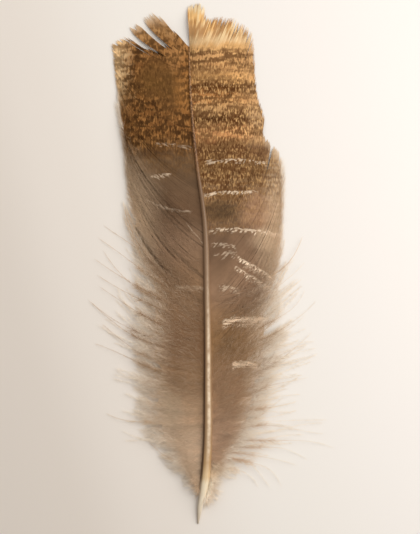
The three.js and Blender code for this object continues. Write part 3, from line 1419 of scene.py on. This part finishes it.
    def flecks(
        self, make: NodeMaker, effects: Effects, place: dict, colour: Socket, plain: object
    ) -> Socket:
        """The colour with its pale flecks and its fine and coarse dark ones.

        Args:
            make: The material's node maker.
            effects: The shared groups.
            place: What the barb_place group gives.
            colour: The colour so far.
            plain: A mask of where there are no plain patches.

        Returns:
            The colour with the flecks.
        """
        amounts = tuple((y, (amount, amount, amount)) for y, amount in self.flecked)
        strength = make.times(make.ramp(place["Y"], amounts), plain)
        outer = make.step(place["X"], *self.edge)
        strength = make.times(strength, make.scaled(outer, self.edge_calm, 1.0))
        kinds = (  # how wide and long, how much they cover, how strongly, their colour, their place
            (0.5, 1.5, 0.5, 0.7, self.fleck_pale, 40.0),
            (0.55, 1.6, self.cover, 0.8, self.fleck_dark, 0.0),
            (2.4, 2.0, self.cover - 0.1, 0.6, self.fleck_dark, 17.0),
        )
        for wide, long, cover, share, tint, offset in kinds:
            mask = make.group(
                effects.flecks,
                make.times(place["X"], self.ripple),
                make.scaled(place["Seed"], 0.5, place["Even Y"]),
                make.plus(place["X"], offset),
                wide * self.grain,
                long * self.grain,
                cover,
            ).outputs[0]
            amount = make.times(mask, strength, share)
            if tint is self.fleck_pale:
                faded = make.scaled(make.step(place["Y"], 30.0, 48.0), 0.25, 0.75)
                amount = make.times(amount, faded)
            colour = make.blend(amount, colour, tint)
        return colour

    def streaks(self, make: NodeMaker, effects: Effects, place: dict, colour: Socket) -> Socket:
        """The colour with whole barbs dark or light at the feather's tip.

        Args:
            make: The material's node maker.
            effects: The shared groups.
            place: What the barb_place group gives.
            colour: The colour so far.

        Returns:
            The colour with the streaks.
        """
        strength = make.step(place["Even Y"], *self.streaked)
        kinds = (  # how wide, how much they cover, their colour, their place
            (0.77, 0.56, self.frost_tint, 71.0),
            (0.87, 0.5, self.streak_tint, 53.0),
        )
        for wide, cover, tint, offset in kinds:
            drawn_out = make.times(place["Even Y"], 0.15)
            across = make.plus(place["Barb"], offset)
            mask = make.group(
                effects.flecks, place["X"], drawn_out, across, wide, 1.35, cover
            ).outputs[0]
            amount = make.times(mask, strength, self.streak_strength)
            colour = make.blend(amount, colour, tint)
        return colour

    def barred(self, make: NodeMaker, effects: Effects, place: dict, colour: Socket) -> Socket:
        """The colour with its pale ticked bars.

        Args:
            make: The material's node maker.
            effects: The shared groups.
            place: What the barb_place group gives.
            colour: The colour so far.

        Returns:
            The colour with the bars.
        """
        bars = 0.0
        jitter = make.minus(place["Y"], place["Even Y"])
        for bar in self.bars:
            y = make.scaled(jitter, self.bar_shift, place["Even Y"])
            run = (*bar.start, *bar.end, bar.arch, bar.half)
            mask = make.group(effects.bar, place["X"], y, place["Barb"], *run).outputs[0]
            bars = make.maths("MAXIMUM", make.times(mask, bar.strength), bars)
        return make.blend(make.maths("MINIMUM", bars, 1.0), colour, self.bar_tint)

    def mottled(self, make: NodeMaker, place: dict, colour: Socket) -> Socket:
        """The colour with soft clouds and with each barb a little lighter or darker.

        By the barbs' random numbers, this also paints shadow below a fold and light on the down's
        hairs.

        Args:
            make: The material's node maker.
            place: What the barb_place group gives.
            colour: The colour so far.

        Returns:
            The shaded colour.
        """
        where = make.vector(place["X"], place["Even Y"])
        (large, deep), (small, slight) = self.clouds, self.mottle
        clouds = make.about_one(make.noise(where, large), deep)
        fine = make.about_one(make.noise(where, small), slight)
        # A barb's random number also carries painted shadow below a fold and painted light on the
        # down's hairs
        own = make.about_one(place["Seed"], self.own_shade)
        shade = make.times(clouds, fine, own)
        return make.blend(1.0, colour, make.vector(shade, shade, shade), "MULTIPLY")


@dataclass(frozen=True)
class Horn:
    """The finish of the shaft: pale horn at the quill, tan higher up, painted highlight and shade.

    Attributes:
        name: The material's name.
        course: Y and colour, from the quill up.
        painted_highlight: A painted highlight, a broken pale line along its top.
        left_shade: Painted shade, a dark line down its left side.
        speckle: The dark specks on its upper end.
        highlight_from: The Y where the painted highlight starts and where it is full.
        highlight_to: The Y where it ends, and the Y where it begins to fade.
        specked_from: The Y where the specks start and where they are full.
        left_shade_to: The Y where the painted shade ends, and the Y where it begins to fade.
        roughness: How matt the horn is.
        specular: How strongly it shines.
    """

    name: str = "shaft_horn"
    course: Stops = stops(
        (-90, 196, 180, 158), (-82, 232, 218, 194), (-76, 236, 220, 190), (-73, 216, 186, 142),
        (-68, 184, 148, 104), (-60, 168, 134, 98), (-30, 166, 133, 100), (0, 144, 115, 88),
        (25, 122, 93, 66), (38, 148, 106, 66), (75, 184, 134, 80),
    )
    painted_highlight: Colour = paint(234, 214, 184)
    left_shade: Colour = paint(70, 48, 32)
    speckle: Colour = paint(82, 52, 24)
    highlight_from: tuple[float, float] = (-76.0, -58.0)
    highlight_to: tuple[float, float] = (6.0, -32.0)
    specked_from: tuple[float, float] = (22.0, 44.0)
    left_shade_to: tuple[float, float] = (20.0, -40.0)
    roughness: float = 0.42
    specular: float = 0.45

    def material(self) -> bpy.types.Material:
        """Builds the material.

        The colour goes by Y, with long fibres in it. Over that come a painted highlight, a pale
        broken line on top a little right of the middle; dark specks above; and painted shade, a
        dark line down the left side. Right and up are the sine and the cosine of the angle round
        the shaft.

        Returns:
            The material.
        """
        made, make = new_material(self.name)
        where = make.add("ShaderNodeTexCoord").outputs["Object"]
        parts = make.add("ShaderNodeSeparateXYZ", {0: where}).outputs
        strand = make.add("ShaderNodeAttribute", attribute_name=STRAND).outputs["Vector"]
        right, up, _ = make.add("ShaderNodeSeparateXYZ", {0: strand}).outputs
        y = make.times(parts[1], 1 / MM)
        fibres = make.noise(make.vector(make.times(right, 5.0), make.times(y, 0.1)), 1.0)
        body = make.ramp(make.scaled(fibres, 3.0, make.minus(y, 1.5)), self.course)
        # Painted highlight: a pale broken line on the shaft's top, a little right of its middle,
        # towards the key light
        top = make.step(up, 0.0, 0.3)
        ridge = make.times(make.step(right, -0.38, 0.16), make.step(right, 0.85, 0.3))
        dashes = make.noise(make.vector(make.times(right, 1.6), y), 0.42, 3.0)
        dashes = make.step(dashes, 0.2, 0.7)
        band = make.times(make.step(y, *self.highlight_from), make.step(y, *self.highlight_to))
        shine = make.times(make.times(ridge, top), make.times(band, dashes))
        body = make.blend(make.times(shine, 0.9), body, self.painted_highlight)
        specks = make.noise(make.vector(right, make.times(y, 1.1)), 1.0, 2.0)
        specks = make.times(make.step(specks, 0.4, 0.56), make.step(y, *self.specked_from))
        body = make.blend(make.times(specks, 0.9), body, self.speckle)
        # Painted shade: a dark line down the shaft's left side, away from the light, weaker on the
        # quill
        left = make.times(make.step(right, -0.5, -0.72), make.step(y, *self.left_shade_to))
        quill = make.scaled(make.step(y, -72.0, -76.0), -0.45, 0.85)
        body = make.blend(make.times(left, quill), body, self.left_shade)
        make.finish(body, self.roughness, self.specular)
        return made


# ---- The feather -------------------------------------------------------------------------------

# Rows of root's Y, tip's X, tip's Y, bow in degrees, closed share and free end, as in Row.table
RIGHT_TABLE = (
    (-80.5, -0.5, -85.5, -6, 0.5, 1.5), (-78.5, 4, -82.5, -8, 0.45, 1.5),
    (-76.3, 5.5, -79, -12, 0.38, 1.5), (-70.1, 20.3, -74.2, -20, 0.24, 1.5),
    (-66.6, 31.4, -68.7, -16, 0.2, 1.5), (-63.8, 44.2, -62.4, -8, 0.22, 1.5),
    (-58.3, 40.4, -48.6, -6, 0.36, 1.5), (-53.5, 39, -39.5, -4, 0.46, 1.5),
    (-48.5, 38.5, -30, -4, 0.55, 1.5), (-42, 37.8, -17, -8, 0.65, 1.5),
    (-38.5, 34, -3, 0, 0.7, 1.5), (-35.4, 28, 5, 14, 0.75, 1.5),
    (-30.5, 26.2, 13.5, 20, 0.83, 1.5), (-22.9, 25.8, 23.9, 20, 0.91, 1.8),
    (-12.5, 25.4, 34.3, 20, 0.96, 2.2), (-2.2, 22.8, 41, 20, 0.99, 1.8),
    (0.2, 19.8, 44.2, 20, 1, 1.8), (11.5, 19.2, 50.6, 20, 1, 1.5),
    (22.2, 16.9, 58.6, 20, 1, 1.5), (32.5, 15.9, 66.6, 20, 1, 2), (41.5, 15.6, 74.9, 20, 1, 4),
    (48.6, 14.8, 80.4, 18, 1, 5.5), (55.5, 11.4, 83.6, 16, 1, 5), (61.7, 7.1, 85.6, 13, 1, 4.5),
    (67.3, 2.2, 85.8, 10, 1, 3.5), (70.4, -0.9, 86.4, 8, 1, 2.5), (71.6, -2.2, 89.6, 6, 1, 2.5),
    (73.2, -4.8, 90.4, 4, 1, 2), (74.9, -7.6, 89.4, 3, 1, 2),
)
LEFT_TABLE = (
    (-78.4, -5.7, -79.1, 0, 0.45, 1.5), (-75.6, -10.2, -75.6, 4, 0.42, 1.5),
    (-70.1, -18.6, -69.4, 8, 0.48, 1.5), (-63.8, -26.2, -63.1, 8, 0.5, 1.5),
    (-57.6, -34.2, -55.5, 8, 0.55, 1.5), (-51.3, -38.9, -47.9, 10, 0.57, 1.5),
    (-45.1, -39.4, -36.8, 12, 0.56, 1.5), (-38.8, -40.7, -26.4, 14, 0.56, 1.5),
    (-31.9, -42.5, -13.9, 16, 0.5, 1.5), (-26.4, -42.1, -0.3, 16, 0.49, 1.5),
    (-22.9, -40.1, 6.9, 16, 0.54, 1.5), (-19.4, -35.2, 15.3, 16, 0.62, 1.5),
    (-16, -30.8, 21.5, 18, 0.76, 1.5), (-10.4, -29.4, 30.5, 20, 0.86, 1.5),
    (-2.1, -29.8, 38.8, 20, 0.88, 1.5), (7.6, -30.8, 47.2, 20, 0.92, 1.5),
    (18.7, -31.9, 54.4, 20, 0.96, 1.5), (33.3, -32.6, 61, 20, 1, 1.5),
    (45.1, -33.1, 67.3, 20, 1, 1.5), (56.5, -33.8, 73.4, 18, 1, 1.5),
    (63, -33.8, 76.4, 15, 1, 1.8), (66.9, -30.6, 78.4, 12.5, 1, 2.6),
)
# The same for single barbs that stand out of the down
LEFT_STRAYS = (
    (-72.8, -21.3, -63.8, 6, 0.6, 2), (-54.1, -35.9, -51.3, 14, 0.6, 2),
    (-41.6, -39.4, -27, 4, 0.6, 2), (-37, -37.8, -21.5, 8, 0.6, 2),
    (-34, -42.1, -11.8, 12, 0.6, 2), (-30.5, -40.7, -13.9, 16, 0.6, 2),
    (-26.6, -38.4, -8, 6, 0.6, 2), (-22.9, -39.4, -4.2, 12, 0.6, 2),
    (-20.1, -40.7, 0.7, 8, 0.6, 2), (-17.4, -36.8, 4.6, 18, 0.6, 2),
    (-14.6, -38.7, 9, 16, 0.6, 2), (-12, -36, 14, 14, 0.6, 2),
)
RIGHT_STRAYS = (
    (-70.7, 16.8, -76.3, -26, 0.5, 2), (-68.6, 22.6, -76.6, -34, 0.5, 2),
    (-67.3, 26.2, -77.7, -38, 0.5, 2), (-66.2, 28.6, -72, -26, 0.5, 2),
    (-64.2, 34.4, -67.6, -20, 0.5, 2), (-62.4, 44, -62.1, -14, 0.5, 2),
    (-60.2, 38.6, -56.4, -10, 0.5, 2), (-57.6, 23.8, -45.1, 20, 0.6, 2),
    (-53, 31, -46, -12, 0.6, 2), (-49, 33.6, -37, 4, 0.6, 2), (-45, 31, -33, -6, 0.6, 2),
    (-41, 36, -24, 20, 0.6, 2), (-38, 33, -27, 6, 0.6, 2), (-35, 33, -17, 12, 0.6, 2),
    (-32.6, 30, -21, 4, 0.6, 2), (-30, 33.6, -8, 16, 0.6, 2), (-26.4, 35.5, -12.5, 26, 0.6, 2),
    (-23, 31, -6, 10, 0.6, 2), (-20, 32.6, 1, 20, 0.6, 2), (-16, 28.5, 3, 18, 0.6, 2),
    (-12.5, 31.4, 10, 24, 0.7, 2),
)
# The same for the barbs below the torn locks, then for the three locks
TORN_BASE = (
    (66.9, -24, 75.3, 13, 1, 3), (68.6, -16.6, 73.9, 13, 1, 3), (70.2, -15.6, 76.5, 12, 1, 3),
    (75.2, -13, 82, 7, 1, 3),
)
TORN_TABLES = (
    ((67.2, -31, 79.4, 13, 1, 3), (67.9, -30.6, 79.8, 13, 1, 3)),
    (
        (68.4, -28, 82, 11, 1, 2.6), (69, -27.2, 83.6, 11, 1, 2.6),
        (69.8, -24.8, 83.2, 11, 1, 2.6),
    ),
    (
        (70.9, -23.2, 85, 9, 1, 3), (72.2, -22.2, 86.8, 9, 1, 3),
        (73.8, -20, 87.5, 8.5, 1, 3), (75.2, -17.2, 86.2, 8, 1, 3),
    ),
)

UMBER = paint(92, 62, 34)
TAUPE = paint(94, 70, 50)
BUFF = paint(218, 166, 110)
SAND = paint(218, 188, 154)

RIGHT_PLUMAGE = Plumage(
    name="right_plumage",
    ground=stops(
        (-81, 254, 244, 228), (-75, 254, 244, 226), (-71, 236, 216, 188),
        (-67.5, 200, 170, 142), (-62, 192, 159, 131), (-44, 167, 132, 100), (-26, 151, 116, 80),
        (-8, 150, 119, 93), (8, 128, 100, 77), (18, 125, 97, 71), (24, 130, 100, 71),
        (33, 127, 95, 60), (41, 98, 64, 36), (45.5, 220, 158, 102), (50, 84, 52, 22),
        (54.3, 202, 156, 104), (57, 196, 138, 82), (61, 94, 57, 23), (64.6, 230, 174, 109),
        (68, 202, 150, 96), (73, 206, 156, 102), (75.5, 219, 170, 111), (78, 223, 188, 141),
        (82, 225, 177, 114), (86, 232, 186, 123), (88.5, 240, 218, 181),
    ),
    flecked=(
        (8.0, 0.0), (14.0, 0.3), (20.0, 0.55), (30.0, 0.95), (38.0, 0.8), (42.0, 0.5),
        (45.5, 0.95), (50.0, 1.0), (54.3, 0.8), (57.0, 0.85), (61.0, 1.0), (64.6, 0.7),
        (68.0, 0.85), (73.5, 0.85), (75.8, 0.1), (77.5, 0.0),
    ),
    cover=0.52,
    edge=(10.0, 18.0),
    edge_tint=paint(204, 164, 118),
    edge_calm=-0.25,
    patches=(
        Patch((3.5, 18.5), (7, 3.6), 0.75, calm=1),
        Patch((17.6, 39.3), (3.4, 2.2), 0.6, paint(88, 52, 34)),
        Patch((17.5, 18.5), (7, 6.5), 0.34, paint(204, 158, 124), 1),
        Patch((28.5, 20), (8.5, 26), 0.75, SAND),
        Patch((22, 3), (6, 10), 0.35, SAND),
        Patch((21.5, 8.5), (7, 4), 0.4, SAND),
        Patch((3, 3), (6, 12), 0.4, TAUPE),
        Patch((0, 66.3), (7, 3), 0.5, UMBER),
        Patch((12.5, 66.5), (4.5, 2.6), 0.5, BUFF),
        Patch((12, 57), (5, 2.6), 0.4, BUFF),
        Patch((0.5, 47), (6, 3), 0.45, UMBER),
        Patch((21, 42), (1.8, 2.6), 0.8, paint(74, 46, 28)),
        Patch((26.4, 32.5), (1.4, 3.4), 0.8, paint(78, 52, 34)),
    ),
    bars=(
        Bar((-1.1, 35.6), (19.7, 35.2), 0.8, 0.6, 0.5),
        Bar((-1.8, 24.4), (16.2, 25.4), 0.4, 0.4, 0.66),
        Bar((0.6, 12.2), (25.6, 10.4), 0.9, 0.7, 0.66),
        Bar((1, 7.4), (9, 6.6), 0.4, 0.9, 0.36),
        Bar((1.6, 3.6), (9.4, 4.4), 0.4, 0.9, 0.36),
        Bar((10, 2.6), (26, -7.6), 0.6, 1.2, 0.95),
        Bar((9, -0.8), (23, -9.6), 0.6, 1.1, 0.75),
        Bar((3.4, -7.6), (10.5, -8.6), 0.5, 1.1, 0.4),
        Bar((5, -19.2), (20.5, -18.6), 0.7, 1.7, 2.2),
        Bar((8, -34), (16.5, -34.4), 0.6, 1.4, 2.2),
    ),
)
LEFT_PLUMAGE = Plumage(
    name="left_plumage",
    ground=stops(
        (-81, 190, 164, 136), (-62, 207, 181, 153), (-52, 185, 154, 123), (-40, 149, 117, 86),
        (-26, 141, 107, 77), (-10, 149, 117, 87), (8, 142, 113, 88), (18, 108, 82, 60),
        (28, 106, 82, 60), (36, 112, 86, 58), (41, 116, 80, 42), (46, 124, 82, 42),
        (54, 126, 83, 42), (60, 110, 74, 36), (70, 124, 82, 43), (76, 154, 108, 62),
        (80, 178, 134, 86), (85, 190, 152, 112), (88, 204, 180, 148),
    ),
    flecked=((28.0, 0.0), (36.0, 0.3), (42.0, 1.0), (74.0, 1.0), (79.0, 0.6), (84.0, 0.3)),
    cover=0.5,
    edge_rise=(48.0, 68.0),
    grain=1.25,
    ripple=3.0,
    fleck_dark=paint(64, 38, 12),
    fleck_pale=paint(174, 124, 70),
    edge=(-25.0, -32.5),
    edge_tint=paint(255, 216, 162),
    edge_calm=-0.6,
    patches=(
        Patch((-18, 64.5), (7, 7), 0.65, paint(92, 64, 28), 1),
        Patch((-13.5, 57), (4.5, 6.5), 0.5, paint(88, 60, 28), 0.9),
        Patch((-16, -50), (7, 6), 0.35, paint(186, 172, 146)),
        Patch((-8, 62), (4, 13), 0.32, paint(204, 140, 74)),
        Patch((-12, 72), (3.2, 4), 0.5, paint(190, 138, 84)),
        Patch((-31.5, 16), (13, 23), 0.6, SAND),
        Patch((-12.5, 37), (9, 6), 0.45, TAUPE),
        Patch((-20, 38.5), (4, 2.4), 0.6, paint(70, 48, 30)),
        Patch((-22, -56), (14, 14), 0.5, paint(204, 182, 156)),
    ),
    streaked=(120.0, 130.0),
    bars=(
        Bar((-6.3, 40.8), (-18.4, 41.6), 0.5, 0.4, 0.26),
        Bar((-13.2, 31.6), (-20.2, 30.4), 0, 0.6, 0.42),
        Bar((-6.3, 18.4), (-22, 22.6), -1, 0.5, 0.3),
        Bar((-2.2, 7.4), (-7.9, 14.6), 0, 0.1, 0.28),
        Bar((-0.5, -8), (-11.8, -7.4), 0.3, 0.9, 0.3),
    ),
)


@dataclass(frozen=True)
class Feather:
    """The whole feather, built from the shaft outwards.

    Attributes:
        shaft: The rod that everything grows from.
        blades: How barbs are built where they hold together.
        web: The sheet below them.
        barbules: The hairs of the down.
        wisp_hairs: The hairs of the single barbs that stand out of it.
        right: The barbs of the right side.
        left: The barbs of the left side.
        right_strays: The single barbs on the right.
        left_strays: The single barbs on the left.
        torn_rims: How pale the rim is of the barbs below the torn locks, and of each lock.
        torn_ragged: How much the barbs' lengths differ in the same four.
    """

    shaft: Shaft = Shaft()
    blades: Blades = Blades()
    web: Web = Web()
    barbules: Barbules = Barbules()
    wisp_hairs: Barbules = Barbules(free=9.0, length=2.6, width=0.04)
    right: Row = Row(
        Side.RIGHT,
        RIGHT_TABLE,
        pitches=((-80.0, 0.42), (-30.0, 0.5), (0.0, 0.72), (60.0, 0.7), (69.0, 0.45), (80.0, 0.3)),
        splits=((-1.0, 0.2), (47.0, 0.5), (58.0, 0.5), (64.0, 0.4), (71.0, 0.5)),
        rims=(
            *((-80.0, 0.0), (-40.0, 0.6), (-32.0, 1.0)),
            *((-18.0, 1.0), (-4.0, 0.5), (12.0, 0.0), (80.0, 0.0)),
        ),
        haze=0.72,
        pallor=1.3,
        seed=11,
    )
    left: Row = Row(
        Side.LEFT,
        LEFT_TABLE,
        pitches=((-80.0, 0.42), (-30.0, 0.48), (0.0, 0.6), (80.0, 0.62)),
        folds=((-14.0, 0.35), (-4.5, 0.5), (6.0, 0.4), (11.0, 0.6)),
        rims=(
            *((-80.0, 0.0), (-26.0, 0.3), (-14.0, 0.95)),
            *((6.0, 0.9), (28.0, 0.7), (40.0, 0.1), (80.0, 0.0)),
        ),
        pallor=1.15,
        seed=12,
    )
    right_strays: Row = Row(
        Side.RIGHT, RIGHT_STRAYS, pitches=(), gather=0.0, curl=1.0, pallor=0.65, seed=13
    )
    left_strays: Row = Row(
        Side.LEFT, LEFT_STRAYS, pitches=(), gather=0.0, curl=0.8, pallor=0.35, seed=14
    )
    torn_rims: tuple[float, ...] = (0.0, 0.15, 0.4, 0.5)
    torn_ragged: tuple[float, ...] = (0.25, 0.1, 0.1, 0.1)

    def build(self) -> None:
        """Builds and dresses every piece."""
        effects = Effects()
        finishes = [plumage.material(effects) for plumage in (RIGHT_PLUMAGE, LEFT_PLUMAGE)]
        self.shaft.surface().piece("shaft", Horn().material(), "shaft")
        sides = (("right", self.right, self.right_strays), ("left", self.left, self.left_strays))
        for (name, row, strays), finish in zip(sides, finishes):
            barbs = row.barbs(self.shaft)
            self.blades.surface(barbs, row.side).piece(f"{name}_vane", finish, "vane")
            self.web.surface(barbs, row.side, row.splits).piece(f"{name}_web", finish, "vane")
            loose = np.flatnonzero(barbs.downy > 0.02)
            for part, which in zip(("lower", "upper"), np.array_split(loose, 2)):
                hairs = self.barbules.surface(barbs.chosen(which))
                hairs.piece(f"{name}_down_{part}", finish, "down")
            self.wisps(strays).piece(f"{name}_wisps", finish, "down")
        self.torn_locks().piece("torn_locks", finishes[1], "vane")

    def wisps(self, strays: Row) -> Surface:
        """Single barbs that stand out of the down, with their hairs."""
        barbs = strays.barbs(self.shaft)
        stems = self.blades.surface(barbs, strays.side).banded(0.0, 0.2)
        return stems.joined(self.wisp_hairs.surface(barbs).banded(0.2, 1.0))

    def torn_locks(self) -> Surface:
        """The three locks that have come away at the left of the tip, and the barbs below them.

        Each is a short row of its own, and all four share the flat map in bands.

        Returns:
            The four as one surface.
        """
        joined: Surface | None = None
        tables = (TORN_BASE, *TORN_TABLES)
        for i, (table, rim, ragged) in enumerate(zip(tables, self.torn_rims, self.torn_ragged)):
            rims = ((-80.0, rim), (90.0, rim))
            row = Row(Side.LEFT, table, gather=0.1, ragged=ragged, rims=rims, seed=20 + i)
            lock = self.blades.surface(row.barbs(self.shaft), Side.LEFT)
            lock = lock.banded(i / len(tables), (i + 1) / len(tables))
            joined = lock if joined is None else joined.joined(lock)
        return joined


# ---- The studio --------------------------------------------------------------------------------


@dataclass(frozen=True)
class Studio:
    """The surface that the feather lies on, the lights and the camera.

    Attributes:
        view_middle: X and Y of the middle of the view, in the frame's millimetres.
        view_height: How much the view takes in from bottom to top.
        lens: The lens's length.
        sensor: The sensor's height.
        paper_and_painted_falloff: The floor's colours by X + slant * Y, from its lower left to its
            upper right: pale paper, darker to the lower left as painted shade of the lights'
                falloff.
        slant: How much Y counts for in that, against X.
        matt: The floor's roughness.
        half_floor: Half the floor's side, in metres.
        room: The colour of the light from all round.
        room_strength: Its strength.
    """

    view_middle: tuple[float, float] = (0.24, -0.81)
    view_height: float = 185.2
    lens: float = 85.0
    sensor: float = 36.0
    paper_and_painted_falloff: Stops = stops(
        (-75, 228, 219, 209), (-45, 236, 228, 219), (0, 240, 235, 228), (60, 240, 235, 230),
    )
    slant: float = 0.3
    matt: float = 0.85
    half_floor: float = 5.0
    room: Colour = (1.0, 0.94, 0.88)
    room_strength: float = 0.37

    def build(self) -> None:
        """Sets out the floor, the lights and the camera."""
        self.floor()
        self.lamp("key", (0.26, 0.06, 0.26), 0.42, 1.45, (1.0, 0.985, 0.965))
        self.lamp("fill", (-0.12, 0.38, 0.34), 0.4, 0.62, (1.0, 0.98, 0.96))
        world = bpy.data.worlds.new("room")
        world.use_nodes = True
        background = world.node_tree.nodes["Background"]
        background.inputs["Color"].default_value = (*self.room, 1.0)
        background.inputs["Strength"].default_value = self.room_strength
        bpy.context.scene.world = world
        bpy.context.scene.view_settings.view_transform = "Standard"
        self.camera()

    def floor(self) -> None:
        """A pale sheet under the feather, darker towards its lower left as painted shade."""
        mesh = bpy.data.meshes.new("floor")
        half = self.half_floor
        corners = [(-half, -half, 0), (half, -half, 0), (half, half, 0), (-half, half, 0)]
        mesh.from_pydata(corners, [], [(0, 1, 2, 3)])
        made = bpy.data.materials.new("floor_paper_painted_falloff")
        made.use_nodes = True
        shader = made.node_tree.nodes["Principled BSDF"]
        shader.inputs["Roughness"].default_value = self.matt
        make = NodeMaker(made.node_tree)
        where = make.add("ShaderNodeTexCoord").outputs["Object"]
        x, y, _ = make.add("ShaderNodeSeparateXYZ", {0: where}).outputs
        # The colour darkens towards the lower left: painted shade of the lights' falloff
        place = make.times(make.scaled(y, self.slant, x), 1 / MM)
        make.feed(shader.inputs["Base Color"], make.ramp(place, self.paper_and_painted_falloff))
        mesh.materials.append(made)
        sheet = bpy.data.objects.new("floor", mesh)
        bpy.context.scene.collection.objects.link(sheet)

    @staticmethod
    def lamp(
        name: str, place: tuple[float, float, float], size: float, power: float, tint: Colour
    ) -> None:
        """Adds a square soft light that faces the feather.

        Args:
            name: The light's name.
            place: Where it stands, in metres.
            size: Its side, in metres.
            power: In watts.
            tint: Its colour.
        """
        light = bpy.data.lights.new(name, "AREA")
        light.energy, light.size, light.color = power, size, tint
        made = bpy.data.objects.new(name, light)
        made.location = place
        x, y, z = place
        made.rotation_euler = (math.atan2(math.hypot(x, y), z), 0.0, math.atan2(y, x) + math.pi / 2)
        bpy.context.scene.collection.objects.link(made)

    def camera(self) -> None:
        """A camera that looks straight down, with the feather's tip at the top of its view."""
        data = bpy.data.cameras.new("camera")
        data.sensor_fit, data.sensor_height, data.lens = "VERTICAL", self.sensor, self.lens
        made = bpy.data.objects.new("camera", data)
        distance = self.view_height * self.lens / self.sensor
        made.location = (self.view_middle[0] * MM, self.view_middle[1] * MM, distance * MM)
        bpy.context.scene.collection.objects.link(made)
        bpy.context.scene.camera = made


def main() -> None:
    """Builds the feather and its studio."""
    logging.basicConfig(level=logging.INFO, format="%(message)s")
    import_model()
    Studio().build()
    Feather().build()


if __name__ == "__main__":
    main()
